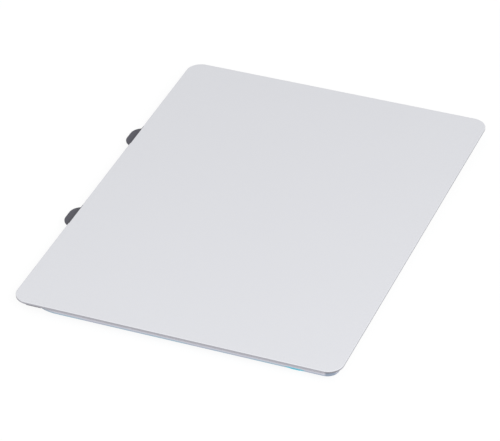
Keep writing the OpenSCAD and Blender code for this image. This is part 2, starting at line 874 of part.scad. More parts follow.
module shield_fence() {
    color("silver")
        under_board(shield_x, shield_y)
            difference() {
                chip(shield_w, shield_d, shield_h);
                translate([0, 0, -eps])
                    chip(shield_w - 2 * shield_t, shield_d - 2 * shield_t, shield_h - shield_t + eps);
                chip(shield_w - 2 * shield_lip, shield_d - 2 * shield_lip, shield_h + eps);
            }
}

module shield_lid() {
    w = shield_w + 2 * lid_gap;
    d = shield_d + 2 * lid_gap;
    color("silver")
        under_board(shield_x, shield_y)
            difference() {
                translate([0, 0, shield_h - lid_skirt])
                    chip(w + 2 * shield_t, d + 2 * shield_t, lid_skirt + shield_t);
                translate([0, 0, shield_h - lid_skirt - eps])
                    chip(w, d, lid_skirt + eps);
                for (x = [-1, 0, 1], y = [-1, 1])
                    translate([x * vent_pitch_x, y * vent_pitch_y / 2, 0])
                        cylinder(h = shield_h + shield_t + eps, r = vent_r);
            }
}

module memory_chip() {
    color("black")
        under_board(memory_x, chip_row_y)
            translate([0, 0, body_lift])
                chip(memory_w, memory_d, memory_h);
}

module voltage_regulator() {
    color("black")
        under_board(regulator_x, chip_row_y)
            translate([0, 0, body_lift])
                chip(regulator_w, regulator_d, regulator_h);
}

// Bent lead that leaves a chip's side at y = 0 towards +Y and stands on the board
module bent_lead(w) {
    rotate([90, 0, 90])
        linear_extrude(w, center = true)
            polygon([
                [0, lead_rise],
                [lead_shoulder, lead_rise],
                [lead_shoulder, 0],
                [lead_l, 0],
                [lead_l, lead_t],
                [lead_shoulder + lead_t, lead_t],
                [lead_shoulder + lead_t, lead_rise + lead_t],
                [0, lead_rise + lead_t]
            ]);
}

module chip_leads() {
    color("lightgray") {
        under_board(controller_x, shield_y)
            for (a = [0:90:270], i = [0:controller_leads - 1])
                rotate(a)
                    translate([
                        (i - (controller_leads - 1) / 2) * controller_pitch,
                        (controller_w + controller_lead_l) / 2,
                        0
                    ])
                        chip(controller_lead_w, controller_lead_l, controller_lead_h);
        under_board(memory_x, chip_row_y)
            for (a = [0, 180], i = [0:3])
                rotate(a)
                    translate([(i - 1.5) * memory_pitch, memory_d / 2, 0])
                        bent_lead(lead_w);
        under_board(regulator_x, chip_row_y) {
            for (i = [-1:1])
                translate([i * regulator_pitch, regulator_d / 2, 0])
                    bent_lead(lead_w);
            for (i = [-1, 1])
                rotate(180)
                    translate([i * regulator_pitch, regulator_d / 2, 0])
                        bent_lead(lead_w);
        }
    }
}

module crystal() {
    color("silver")
        under_board(crystal_x, chip_row_y)
            linear_extrude(crystal_h)
                rounded_rect(crystal_w, crystal_d, crystal_r);
}

module inductor() {
    color("dimgray")
        under_board(inductor_x, chip_row_y)
            linear_extrude(inductor_h)
                rounded_rect(inductor_w, inductor_w, inductor_r);
}

module capacitors() {
    color("tan")
        for (p = capacitor_sites)
            under_board(p[0], p[1])
                rotate(p[2])
                    chip(passive_l - 2 * passive_cap, passive_w, passive_h);
}

module resistors() {
    color("black")
        for (p = resistor_sites)
            under_board(p[0], p[1])
                rotate(p[2])
                    chip(passive_l - 2 * passive_cap, passive_w, resistor_h);
}

module bulk_capacitors() {
    color("tan")
        for (p = bulk_sites)
            under_board(p[0], p[1])
                rotate(p[2])
                    chip(bulk_l - 2 * bulk_cap, bulk_w, bulk_h);
}

// The two metal ends of a capacitor or resistor
module cap_pair(l, w, h, cap) {
    for (s = [-1, 1])
        translate([s * (l - cap) / 2, 0, 0])
            chip(cap, w, h);
}

module end_caps() {
    color("lightgray") {
        for (p = capacitor_sites)
            under_board(p[0], p[1])
                rotate(p[2])
                    cap_pair(passive_l, passive_w, passive_h, passive_cap);
        for (p = resistor_sites)
            under_board(p[0], p[1])
                rotate(p[2])
                    cap_pair(passive_l, passive_w, resistor_h, passive_cap);
        for (p = bulk_sites)
            under_board(p[0], p[1])
                rotate(p[2])
                    cap_pair(bulk_l, bulk_w, bulk_h, bulk_cap);
    }
}

module frame_outline() {
    difference() {
        rect_span(-frame_x, frame_x, frame_y0, frame_y1, frame_corner_r);
        for (s = [-1, 1]) {
            rect_span(
                min(s * window_x0, s * window_x1),
                max(s * window_x0, s * window_x1),
                window_y0,
                crossbar_y0,
                window_r
            );
            rect_span(
                min(s * window_x0, s * window_x1),
                max(s * window_x0, s * window_x1),
                crossbar_y1,
                block_y1 + hinge_span,
                window_r
            );
            translate([s * (window_x0 + frame_hole_gap), rear_rivet_y])
                circle(r = frame_hole_r);
        }
        rect_span(
            -spine_slot_w / 2,
            spine_slot_w / 2,
            window_y0 + spine_slot_front,
            crossbar_y1 + spine_slot_rear,
            window_r
        );
        for (p = nut_sites)
            translate(p)
                circle(r = nut_shank_r + seat_clear);
        for (x = rivet_xs)
            translate([x, rear_rivet_y])
                circle(r = rivet_r + seat_clear);
        translate([0, switch_y])
            circle(r = collar_r + seat_clear);
    }
}

module support_frame() {
    color("slategray")
        difference() {
            union() {
                linear_extrude(frame_t)
                    frame_outline();
                linear_extrude(frame_t + bead_h)
                    bead_sites(bead_w);
            }
            translate([0, 0, -eps])
                linear_extrude(bead_h + eps)
                    bead_sites(bead_w - 2 * bead_wall);
        }
}

module fixing_nuts() {
    color("silver")
        for (p = nut_sites)
            translate(p)
                difference() {
                    union() {
                        cylinder(h = frame_t, r = nut_shank_r);
                        translate([0, 0, frame_t])
                            cylinder(h = nut_head_h, r = nut_head_r);
                    }
                    translate([0, 0, -eps])
                        cylinder(h = frame_t + nut_head_h + 2 * eps, r = nut_bore_r);
                }
}

// Spring leaf about its own middle line, from block to rear rail
module hinge_leaf() {
    color("lightsteelblue")
        difference() {
            translate([0, 0, z_leaf])
                linear_extrude(leaf_t)
                    difference() {
                        rect_span(-leaf_w / 2, leaf_w / 2, block_y0, leaf_y1, leaf_corner_r);
                        rect_span(
                            -leaf_slot_w / 2,
                            leaf_slot_w / 2,
                            block_y1 + leaf_slot_margin,
                            block_y1 + hinge_span - leaf_slot_margin,
                            leaf_slot_r
                        );
                        for (x = [-1, 1], y = [front_rivet_y, rear_rivet_y])
                            translate([x * rivet_spacing / 2, y])
                                circle(r = rivet_r + seat_clear);
                    }
            translate([0, hinge_y, z_block])
                rotate([0, 90, 0])
                    cylinder(h = leaf_w + 2 * eps, r = groove_r, center = true);
        }
}

module hinge_leaf_left() {
    translate([-leaf_x, 0, 0])
        hinge_leaf();
}

module hinge_leaf_right() {
    translate([leaf_x, 0, 0])
        hinge_leaf();
}

module frame_rivets() {
    color("gray")
        for (x = rivet_xs)
            translate([x, rear_rivet_y, z_block])
                mirror([0, 0, 1])
                    rivet(z_block);
}

module adjust_collar() {
    color("silver")
        translate([0, switch_y, 0])
            difference() {
                union() {
                    cylinder(h = frame_t, r = collar_r);
                    translate([0, 0, frame_t])
                        cylinder(h = collar_flange_h, r = collar_flange_r);
                }
                translate([0, 0, -eps])
                    cylinder(h = frame_t + collar_flange_h + 2 * eps, r = screw_r + turn_clear);
            }
}

module adjust_screw() {
    color("gray")
        translate([0, switch_y, 0])
            difference() {
                union() {
                    translate([0, 0, screw_recess])
                        cylinder(h = z_screw_end - screw_recess, r = screw_r);
                    translate([0, 0, z_screw_end - eps])
                        cylinder(h = screw_tip_h + eps, r = screw_tip_r);
                }
                for (a = [0:120:240])
                    rotate(a)
                        translate([-drive_slot_w / 2, 0, 0])
                            cube([drive_slot_w, drive_slot_l, screw_recess + drive_slot_h]);
            }
}

module down_stops() {
    color("black")
        for (s = [-1, 1])
            translate([s * stop_pad_x, nut_y0, frame_t])
                cylinder(h = stop_pad_h, r = stop_pad_r);
}

touch_glass();
glass_adhesive();
sensor_board();
front_stop_plate();
stop_plate_film();
hinge_blocks();
pad_rivets();
switch_base();
switch_dome();
switch_cover();
switch_terminals();
switch_plunger();
host_socket_housing();
host_socket_contacts();
host_socket_anchors();
host_socket_latch();
keyboard_socket_housing();
keyboard_socket_contacts();
keyboard_socket_anchors();
keyboard_socket_latch();
touch_controller();
driver_chip();
shield_fence();
shield_lid();
memory_chip();
voltage_regulator();
chip_leads();
crystal();
inductor();
capacitors();
resistors();
bulk_capacitors();
end_caps();
support_frame();
fixing_nuts();
hinge_leaf_left();
hinge_leaf_right();
frame_rivets();
adjust_collar();
adjust_screw();
down_stops();
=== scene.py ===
import math

import bpy
import numpy as np
from mathutils import Matrix, Vector
from mathutils.geometry import delaunay_2d_cdt


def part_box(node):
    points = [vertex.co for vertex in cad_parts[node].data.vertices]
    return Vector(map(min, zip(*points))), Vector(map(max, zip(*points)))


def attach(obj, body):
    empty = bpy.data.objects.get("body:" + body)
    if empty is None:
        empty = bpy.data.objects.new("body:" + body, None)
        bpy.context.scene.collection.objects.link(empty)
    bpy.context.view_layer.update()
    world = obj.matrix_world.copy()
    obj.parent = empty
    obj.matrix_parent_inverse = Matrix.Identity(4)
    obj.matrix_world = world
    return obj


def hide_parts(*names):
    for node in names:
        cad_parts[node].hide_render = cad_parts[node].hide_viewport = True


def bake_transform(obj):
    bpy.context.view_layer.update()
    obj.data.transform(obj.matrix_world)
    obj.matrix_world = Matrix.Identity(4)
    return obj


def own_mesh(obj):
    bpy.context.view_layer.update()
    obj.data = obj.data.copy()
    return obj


bl_info = {
    "name": "Trackpad module",
    "version": (1, 0, 0),
    "blender": (4, 5, 0),
    "location": "View3D > Sidebar > Trackpad",
    "description": "Dresses a click trackpad module and sets it on a plain studio floor",
    "category": "Object",
}

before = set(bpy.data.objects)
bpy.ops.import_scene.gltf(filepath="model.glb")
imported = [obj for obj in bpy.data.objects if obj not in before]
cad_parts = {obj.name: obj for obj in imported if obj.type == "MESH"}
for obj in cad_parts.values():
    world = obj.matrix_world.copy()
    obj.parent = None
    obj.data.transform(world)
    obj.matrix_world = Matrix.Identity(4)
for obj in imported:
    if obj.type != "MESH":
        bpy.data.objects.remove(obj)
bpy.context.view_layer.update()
MM = 0.001


def mm_box(node):
    """Lowest and highest corner of a CAD node at rest, in millimetres."""
    return [np.array(corner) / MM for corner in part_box(node)]


def middle(low, high):
    """The middle of a box in X and Y."""
    return ((low + high) / 2)[:2]


GLASS_LOW, GLASS_HIGH = mm_box("touch_glass")
BOARD_LOW, BOARD_HIGH = mm_box("sensor_board")
FRAME_LOW, FRAME_HIGH = mm_box("support_frame")
STOP_LOW, STOP_HIGH = mm_box("front_stop_plate")
LEAF_LOW, LEAF_HIGH = mm_box("hinge_leaf_right")
DOME_LOW, DOME_HIGH = mm_box("switch_dome")
HOST_LOW, HOST_HIGH = mm_box("host_socket_housing")
KEYS_LOW, KEYS_HIGH = mm_box("keyboard_socket_housing")
LID_LOW, LID_HIGH = mm_box("shield_lid")
CONTROLLER_LOW, CONTROLLER_HIGH = mm_box("touch_controller")
MEMORY_LOW, MEMORY_HIGH = mm_box("memory_chip")
REGULATOR_LOW, REGULATOR_HIGH = mm_box("voltage_regulator")
CRYSTAL_LOW, CRYSTAL_HIGH = mm_box("crystal")
CHOKE_LOW, CHOKE_HIGH = mm_box("inductor")
STOP_PAD_LOW, STOP_PAD_HIGH = mm_box("down_stops")
BLOCK_RIVET_LOW, BLOCK_RIVET_HIGH = mm_box("pad_rivets")
RAIL_RIVET_LOW, RAIL_RIVET_HIGH = mm_box("frame_rivets")
UNDER = BOARD_LOW[2]
NUT_TOP = mm_box("fixing_nuts")[1][2]
COLLAR_TOP = mm_box("adjust_collar")[1][2]
TAIL_FRONT = mm_box("host_socket_contacts")[0][1]
CONTROLLER_X, CONTROLLER_Y = middle(CONTROLLER_LOW, CONTROLLER_HIGH)
MEMORY_X = middle(MEMORY_LOW, MEMORY_HIGH)[0]
REGULATOR_X = middle(REGULATOR_LOW, REGULATOR_HIGH)[0]
CRYSTAL_X = middle(CRYSTAL_LOW, CRYSTAL_HIGH)[0]
HOST_X = middle(HOST_LOW, HOST_HIGH)[0]
KEYS_X = middle(KEYS_LOW, KEYS_HIGH)[0]

# Sizes that the frame's boxes don't give, repeated from the part's source in millimetres
GLASS_CORNER = 3.7
TAB_MIDDLE, TAB_HALF, TAB_CORNER = 17.65, 4.05, 3.0
STRIP_FRONT = -37.8
SHEET = 0.5
FRAME_CORNER = 4.0
WINDOW_INNER, WINDOW_OUTER = 7.0, 42.5
WINDOW_FRONT, WINDOW_REAR = -26.5, 9.0
HINGE_FRONT, HINGE_REAR = 13.0, 27.0
WINDOW_CORNER, WINDOW_MARGIN = 1.5, 2.5
SLOT_HALF, SLOT_FRONT, SLOT_REAR = 3.5, -18.5, 19.0
NUT_X, NUT_Y = 44.0, 30.0
NUT_HOLE, NUT_SHANK, NUT_HEAD, NUT_BORE = 1.52, 1.5, 2.0, 0.8
RIVET_HOLE, RIVET_SHANK, RIVET_HEAD = 0.77, 0.75, 1.4
RIVET_XS = (-36.0, -24.0, 24.0, 36.0)
RAIL_RIVET_Y, BLOCK_RIVET_Y = 30.5, 19.75
TOOLING_X, TOOLING_HOLE = 10.0, 1.0
SWITCH_Y, COLLAR_HOLE = -28.5, 1.92
BEAD_WIDTH, BEAD_RISE = 2.4, 0.25
SIDE_BEAD_X, SIDE_BEAD_HALF = 45.5, 22.0
FRONT_BEAD_Y, FRONT_BEAD_FROM, FRONT_BEAD_TO = -30.25, 9.0, 32.4
COLLAR_RADIUS, COLLAR_FLANGE, COLLAR_BORE = 1.9, 2.5, 1.03
STOP_PAD_X, STOP_PAD_RADIUS = 36.0, 1.6
LEAF_CORNER, LEAF_SLOT_CORNER = 1.5, 1.0
LEAF_SLOT_HALF, LEAF_SLOT_FRONT, LEAF_SLOT_REAR = 6.5, 23.3, 26.7
PASSIVE_LONG, PASSIVE_WIDE, PASSIVE_END = 1.0, 0.5, 0.22
BULK_LONG, BULK_WIDE, BULK_END = 2.0, 1.25, 0.4
CAPACITOR_HIGH, RESISTOR_HIGH, BULK_HIGH = 0.5, 0.35, 0.85
PASSIVE_PITCH, BULK_PITCH, CONTACT_PITCH = 1.8, 4.0, 0.5
ROUND_COUNT, FIELD_COUNT, RESISTOR_COUNT, FRONT_COUNT, BULK_COUNT = 5, 9, 10, 6, 3
CAPACITOR_OUT = 2.0
HOST_CONTACTS, KEYS_CONTACTS = 18, 12
CONTROLLER_LEADS, CONTROLLER_PITCH = 14, 0.5
CONTROLLER_LEAD_WIDE, CONTROLLER_LEAD_LONG, CONTROLLER_LEAD_HIGH = 0.26, 0.3, 0.2
LEAD_LONG, LEAD_WIDE, LEAD_THICK, LEAD_RISE = 0.95, 0.4, 0.14, 0.36
MEMORY_PITCH, REGULATOR_PITCH = 1.27, 0.95
CAN_SHEET, VENT_RADIUS, VENT_X, VENT_Y = 0.15, 0.5, 4.2, 3.25
PIVOT_Y, PIVOT_Z, LATCH_HALF, PIN_RADIUS, PIN_LONG = 3.7, 1.12, 0.25, 0.2, 0.45
RESISTOR_ROW_Y, FIELD_ROWS_Y, FRONT_ROW_Y = -1.6, (-11.5, -13.9), -20.2
REGULATOR_CAP_Y, CRYSTAL_CAP_Y = -11.35, -10.85

# Finer shapes that the solids leave out: lengths in millimetres, a few counts and shares, and the angle
# in radians at which the snap dome's section starts
STOP_CUT, STOP_EASE, STOP_TRIM = 3.4, 1.0, 0.03
EAR_LONG, EAR_WIDE, EAR_CORNER = 2.0, 0.5, 0.2
CLEAR_RIM = 0.17
MARK_Y, MARK_HALF = 28.2, 2.6
TAPE_LONG, TAPE_HALF, TAPE_THICK, TAPE_CORNER, TAPE_EDGE = 2.8, 1.3, 0.1, 0.4, 0.01
KNURL_TEETH, KNURL_SHARE = 24, 0.015
THREAD_PITCH, THREAD_DEPTH, THREAD_ROWS = 0.35, 0.1, 17
NUT_EDGE, NUT_LEAD_IN = 0.06, 0.18
RIVET_CROWN = ((0.6, 0), (1.0, 0.02), (1.25, 0.06), (1.37, 0.12))
BEAD_RAMP, LEAF_STEP = 0.8, 0.5
DOME_SHEET, DOME_POLE, DOME_KEEP = 0.06, 0.02, 0.34
PARTING_HALF, PARTING_OUT = 0.04, 0.02
LATCH_GROOVE = ((0, -0.14), (0.045, -0.09), (0.045, 0.09), (0, 0.14))
SOLDER_REACH, SOLDER_SHARE = 0.24, 0.6

# What lies on the board's lower face, in millimetres
FOOT_COVER, PAD_GAP = 0.1, 0.2
BUNDLE_CUT, FIELD_CUT, SWITCH_CUT = 0.12, 0.2, 0.4
BUNDLE, BUNDLE_STEP, BUNDLE_LOW_STEP = 10, 0.3, 0.2
BUNDLE_RUN_Y, BUNDLE_TURN_X, BUNDLE_LOW_Y = 7.0, 8.0, -0.8
STAGGER_Y, STAGGER = 1.1, 0.55
FEED_WIDE, SUPPLY_WIDE, GROUND_WIDE = 0.24, 0.7, 0.5
SUPPLY_FROM, SUPPLY_TO, SUPPLY_RISE, GROUND_DROP = 8.6, 41.0, 2.5, 2.7
ROUND_FEED, ROUND_STUB, ROUND_VIA = 1.6, 2.5, 3.3
FIELD_REAR, FIELD_FRONT, RESISTOR_STUB, FRONT_STUB, FRONT_FEED = 1.7, 1.5, 1.1, 2.2, 2.6
BULK_LAP, BULK_FEED, BULK_VIA, BULK_VIAS_X = 0.8, 2.2, 2.5, (-0.25, 0.35)
SWITCH_LINE = ((2.65, SWITCH_Y + 1.8), (2.65, -19.5), (0.8, -17.0), (0.8, 14.0), (2.2, 16.0))
EDGE_LINES, EDGE_X, EDGE_STEP = 7, 49.2, 0.36
EDGE_FRONT, EDGE_REAR, EDGE_SHIFT = -24.0, 30.0, 1.1
TEST_XS, TEST_YS, TEST_ROW, TEST_ROW_Y = (9.5, 11.9, 14.3, 16.7), (15.0, 17.6, 20.2, 22.8), 12, -25.0
GROUND_PADS, GROUND_PITCH, GROUND_INSET = 15, 6.0, 1.2
GROUND_HALF_LONG, GROUND_HALF_WIDE, GROUND_EDGE = 2.0, 0.35, 0.01
INK_WIDE, BRACKET, BRACKET_SHARE, BAR_GAP = 0.13, 1.2, 0.3, 0.35

# Sections of pads turned about Z: radius in millimetres, height in thicknesses of the foil
VIA_RING = ((0.26, 0), (0.26, 1), (0.2, 1.3), (0.13, 1.2), (0.1, 0.2))
TEST_POINT = ((0.5, 0), (0.5, 1), (0.45, 1.3))
PAD_CROWN, INK_CROWN = 1.3, 0.6

# Painted shade on the glass edge round the plate's rear corners and a painted highlight round its front
# corners, as shares of the edge's colour
REAR_PAINTED_SHADE, FRONT_PAINTED_HIGHLIGHT = 0.55, 1.3

# Studio, in metres; the axes are the camera's own
KEY_PLACE, KEY_WIDE = (0.525, 0.50, 0.525), 0.5
FILL_PLACE, FILL_WIDE = (0.35, -0.75, 0.6), 0.8
CAMERA_RIGHT = (-0.36412997, 0.93132201, -0.00697661)
CAMERA_UP = (-0.53210729, -0.20188469, 0.82225568)
CAMERA_BACK = (0.76437634, 0.30312024, 0.56907550)
SENSOR_MM = 36.0
FLOOR_HALF, FLOOR_GAP = 2.0, 0.0001

# The floor's strength of white, its share of shadow under the frame, and how far in from and out past the
# frame's edge that share fades, in millimetres
FLOOR_WHITE, DEEP_SHADOW, FADE_IN, FADE_OUT = 1.02, 0.9, 4.0, 1.0


# Outlines: a loop is (points, normals), where a normal points away from the material

def arc(x, y, radius, start, end, count=12):
    """Points round a centre from one angle to another, in degrees, with normals along the radius."""
    turn = np.radians(np.linspace(start, end, count))
    way = np.stack([np.cos(turn), np.sin(turn)], axis=1)
    return np.array([x, y]) + radius * way, way


def join(*pieces):
    """One loop from arcs in order, with straight runs between them and doubled points left out."""
    both = np.hstack([np.concatenate(part) for part in zip(*pieces)])
    own = np.abs(both - np.roll(both, 1, axis=0)).max(axis=1) > 1e-6
    return both[own, :2], both[own, 2:]


def rounded(x0, x1, y0, y1, radius, count=12):
    """A rectangle with round corners, counter-clockwise."""
    r = radius
    return join(
        arc(x1 - r, y0 + r, r, 270, 360, count),
        arc(x1 - r, y1 - r, r, 0, 90, count),
        arc(x0 + r, y1 - r, r, 90, 180, count),
        arc(x0 + r, y0 + r, r, 180, 270, count),
    )


def around(low, high, radius, count=12):
    """The outline of a box seen from above, with round corners."""
    return rounded(low[0], high[0], low[1], high[1], radius, count)


def circle(x, y, radius, count=24):
    """A full circle, counter-clockwise, without a doubled last point."""
    return arc(x, y, radius, 0, 360 - 360 / count, count)


def dense(loop, step):
    """The loop with points added so that none of its runs is longer than step."""
    points, normals = (np.vstack([part, part[:1]]) for part in loop)
    run = np.linalg.norm(np.diff(points, axis=0), axis=1)
    count = np.maximum(1, np.ceil(run / step)).astype(int)
    place = np.repeat(np.arange(len(run)), count) + (
        np.arange(count.sum()) - np.repeat(np.cumsum(count) - count, count)
    ) / np.repeat(count, count)
    knots = np.arange(len(points))
    return tuple(
        np.stack([np.interp(place, knots, part[:, k]) for k in (0, 1)], axis=1) for part in (points, normals)
    )


def as_hole(loop):
    """The loop as a hole's edge: walked the other way, with its normals into the hole."""
    return loop[0][::-1], -loop[1][::-1]


def turned_over(loop):
    """The loop walked the other way with its normals kept, for a dent in a lower face."""
    return loop[0][::-1], loop[1][::-1]


# Surfaces: a part is (vertices, [faces of one size, ...])

def carry(loop, profile):
    """Rings of a loop carried through a profile: ring i lies inset[i] within the loop at height[i]."""
    points, normals = loop
    inset, height = np.asarray(profile, float).T
    flat = points[None] - inset[:, None, None] * normals[None]
    return np.concatenate([flat, np.broadcast_to(height[:, None, None], (*flat.shape[:2], 1))], axis=2)


def lattice(points, closed_u=False, closed_v=True):
    """Four-sided faces between neighbours of a grid of points, optionally closed along either parameter."""
    nu, nv = points.shape[:2]
    u, v = np.meshgrid(
        np.arange(nu if closed_u else nu - 1), np.arange(nv if closed_v else nv - 1), indexing="ij"
    )
    u2, v2 = (u + 1) % nu, (v + 1) % nv
    return np.stack([u * nv + v, u * nv + v2, u2 * nv + v2, u2 * nv + v], axis=-1).reshape(-1, 4)


def capped(rings):
    """A body of stacked rings, closed by a flat face under the first and over the last."""
    count = rings.shape[1]
    first = np.arange(count)
    caps = np.stack([first[::-1], first + (rings.shape[0] - 1) * count])
    return rings.reshape(-1, 3), [lattice(rings), caps]


def turned(profile, sides=32):
    """A profile of radius and height turned about Z: x = r cos a, y = r sin a."""
    return capped(carry(arc(0, 0, 0, 0, 360 - 360 / sides, sides), np.asarray(profile) * [-1, 1]))


def ring_body(section, sides=40):
    """A closed section of radius and height turned about Z into a ring: x = r cos a, y = r sin a."""
    rings = carry(arc(0, 0, 0, 0, 360 - 360 / sides, sides), np.asarray(section) * [-1, 1])
    return rings.reshape(-1, 3), [lattice(rings, closed_u=True)]


def clinch_nut():
    """A ring whose head is knurled, r (1 - share (1 + cos teeth a)), and whose bore is threaded,
    r + depth |2 saw(z / pitch - a / 2 pi)|, with two columns of points to a tooth."""
    edge, mouth = NUT_EDGE, NUT_BORE + NUT_LEAD_IN
    bore = np.full((THREAD_ROWS, 4), (NUT_BORE, 0, 0, 1), float)
    bore[:, 1] = np.linspace(NUT_TOP - edge, edge, THREAD_ROWS)
    section = np.vstack([
        [(NUT_SHANK - edge, 0, 0, 0), (NUT_SHANK, 0.05, 0, 0), (NUT_SHANK, SHEET, 0, 0)],
        [(NUT_HEAD - edge, SHEET, 1, 0), (NUT_HEAD, SHEET + edge, 1, 0), (NUT_HEAD, NUT_TOP - edge, 1, 0)],
        [(NUT_HEAD - 0.08, NUT_TOP, 1, 0), (mouth, NUT_TOP, 0, 0)],
        bore,
        [(mouth, 0, 0, 0)],
    ])
    r, z, knurled, threaded = (k[:, None] for k in section.T)
    a = np.linspace(0, 2 * np.pi, 2 * KNURL_TEETH, endpoint=False)[None]
    saw = (z / THREAD_PITCH - a / (2 * np.pi)) % 1 - 0.5
    r = r * (1 - knurled * KNURL_SHARE * (1 + np.cos(KNURL_TEETH * a)))
    r = r + threaded * THREAD_DEPTH * 2 * np.abs(saw)
    rings = np.stack([r * np.cos(a), r * np.sin(a), z + 0 * a], axis=-1)
    return rings.reshape(-1, 3), [lattice(rings, closed_u=True)]


def fill(verts, loops):
    """Triangles, seen from above, that fill the flat space between closed loops of vertex numbers.
    A triangle stays where a line from its middle crosses the loops an odd number of times."""
    index = np.concatenate(loops)
    first = np.repeat(np.cumsum([0] + [len(k) for k in loops[:-1]]), [len(k) for k in loops])
    size = np.repeat([len(k) for k in loops], [len(k) for k in loops])
    here = np.arange(len(index))
    edges = np.stack([here, first + (here - first + 1) % size], axis=1)
    flat = [Vector(p) for p in verts[index, :2].tolist()]
    _, _, found, origin, _, _ = delaunay_2d_cdt(flat, edges.tolist(), [], 1, 1e-7)
    tris = np.array([index[o[0]] for o in origin])[np.array(found)]
    middle = verts[tris, :2].mean(axis=1)[:, None]
    start, end = verts[index[edges[:, 0]], :2], verts[index[edges[:, 1]], :2]
    spans = (start[:, 1] > middle[..., 1]) != (end[:, 1] > middle[..., 1])
    rise = np.where(start[:, 1] == end[:, 1], 1, end[:, 1] - start[:, 1])
    meets = start[:, 0] + (middle[..., 1] - start[:, 1]) * (end[:, 0] - start[:, 0]) / rise
    tris = tris[(spans & (meets > middle[..., 0])).sum(axis=1) % 2 == 1]
    (ax, ay), (bx, by), (cx, cy) = (verts[tris[:, k], :2].T for k in range(3))
    back = (bx - ax) * (cy - ay) < (by - ay) * (cx - ax)
    tris[back] = tris[back][:, ::-1]
    return tris


def slab(walls, high=(), low=()):
    """A flat body. Walls are ring stacks from its lower to its upper face, the outline first, then its holes.
    High and low are ring stacks of beads or dents that start on the upper or lower face."""
    stacks = [*walls, *high, *low]
    numbers, total, groups = [], 0, []
    for rings in stacks:
        numbers.append(total + np.arange(rings.shape[0] * rings.shape[1]).reshape(rings.shape[:2]))
        groups.append(lattice(rings) + total)
        total += rings.shape[0] * rings.shape[1]
    verts = np.concatenate([rings.reshape(-1, 3) for rings in stacks])
    walls_at, dents_at = numbers[: len(walls)], numbers[len(walls):]
    high_at, low_at = dents_at[: len(high)], dents_at[len(high):]
    groups.append(fill(verts, [k[-1] for k in walls_at] + [k[0] for k in high_at]))
    groups.append(fill(verts, [k[0] for k in walls_at] + [k[0] for k in low_at])[:, ::-1])
    groups += [k[-1][None] for k in dents_at]
    return verts, groups


def chamfer(z0, z1, edge):
    """Profile of a sheet's wall from its lower to its upper face, with a small chamfer at both."""
    return [(edge, z0), (0, z0 + edge), (0, z1 - edge), (edge, z1)]


def round_edge(z0, z1, radius, steps=6, margin=0.2):
    """Profile of a plate's wall with quarter rounds at both edges and a flat margin on both faces."""
    turn = np.linspace(0, np.pi / 2, steps)
    lower = np.stack([radius * (1 - np.sin(turn)), z0 + radius * (1 - np.cos(turn))], axis=1)
    upper = np.stack([radius * (1 - np.cos(turn)), z1 - radius * (1 - np.sin(turn))], axis=1)
    return np.vstack([[radius + margin, z0], lower, upper, [radius + margin, z1]])


def swell(ramp, rise, base, steps=7):
    """Profile of a pressed bead or dent: a flat margin, then height follows 3t^2 - 2t^3 across the ramp."""
    t = np.linspace(0, 1, steps)
    return np.vstack([[-0.1, base], np.stack([ramp * t, base + rise * t * t * (3 - 2 * t)], axis=1)])


def gather(parts):
    """Several parts as one."""
    start = np.cumsum([0] + [len(p[0]) for p in parts])
    return np.concatenate([p[0] for p in parts]), [g + s for p, s in zip(parts, start) for g in p[1]]


def repeated(part, places):
    """Copies of a part, each turned about Z by an angle in degrees and moved to x, y."""
    verts, groups = part
    x, y, turn = (k[:, None] for k in np.asarray(places, float).T)
    c, s = np.cos(np.radians(turn)), np.sin(np.radians(turn))
    vx, vy, vz = verts.T
    moved = np.stack([vx * c - vy * s + x, vx * s + vy * c + y, vz + 0 * x], axis=-1)
    start = (np.arange(len(x)) * len(verts))[:, None, None]
    return moved.reshape(-1, 3), [(g[None] + start).reshape(-1, g.shape[1]) for g in groups]


def hung(part, z=0.0):
    """The part upside down, hung with its base at height z."""
    verts, groups = part
    return verts * [1, 1, -1] + [0, 0, z], [g[:, ::-1] for g in groups]


def along_x(rings):
    """Rings drawn in X and Y and stacked in Z, turned so that they lie in Y and Z and are stacked along X."""
    return rings[..., [2, 0, 1]]


def strip(path, width, thickness):
    """A flat strip bent along a path in Y and Z: four corners carried along it, off by the path's normal."""
    path = np.asarray(path, float)
    step = np.gradient(path, axis=0)
    step /= np.linalg.norm(step, axis=1, keepdims=True)
    side = np.stack([-step[:, 1], step[:, 0]], axis=1) * thickness / 2
    corners = np.stack([path + side, path - side, path - side, path + side], axis=1)
    x = np.array([width, width, -width, -width]) / 2
    rings = np.concatenate([np.broadcast_to(x[None, :, None], (*corners.shape[:2], 1)), corners], axis=2)
    return capped(rings)


def ribbon(route, width, height):
    """A conductor along a flat route: at a corner its two edges lie on the mitre of the runs that meet."""
    route = np.asarray(route, float)
    step = np.diff(route, axis=0)
    step /= np.linalg.norm(step, axis=1, keepdims=True)
    left = np.stack([-step[:, 1], step[:, 0]], axis=1)
    before, after = np.vstack([left[:1], left]), np.vstack([left, left[-1:]])
    mitre = (before + after) / (1 + (before * after).sum(axis=1, keepdims=True))
    edge = mitre * width / 2
    flat = np.stack([route - edge, route + edge, route + edge * 0.8, route - edge * 0.8], axis=1)
    z = np.broadcast_to(np.array([0, 0, height, height])[None, :, None], (*flat.shape[:2], 1))
    return capped(np.concatenate([flat, z], axis=2))


def eased(corners, cut):
    """A route of straight runs with every corner cut off at that distance from it."""
    corners = np.asarray(corners, float)
    back, ahead = corners[:-2] - corners[1:-1], corners[2:] - corners[1:-1]
    pair = [corners[1:-1] + k / np.linalg.norm(k, axis=1, keepdims=True) * cut for k in (back, ahead)]
    return np.vstack([corners[:1], np.stack(pair, axis=1).reshape(-1, 2), corners[-1:]])


def block(x0, x1, y0, y1, height, edge):
    """A box on Z = 0 with cut corners and edges."""
    return capped(carry(rounded(x0, x1, y0, y1, edge, 2), chamfer(0, height, edge * 0.7)))


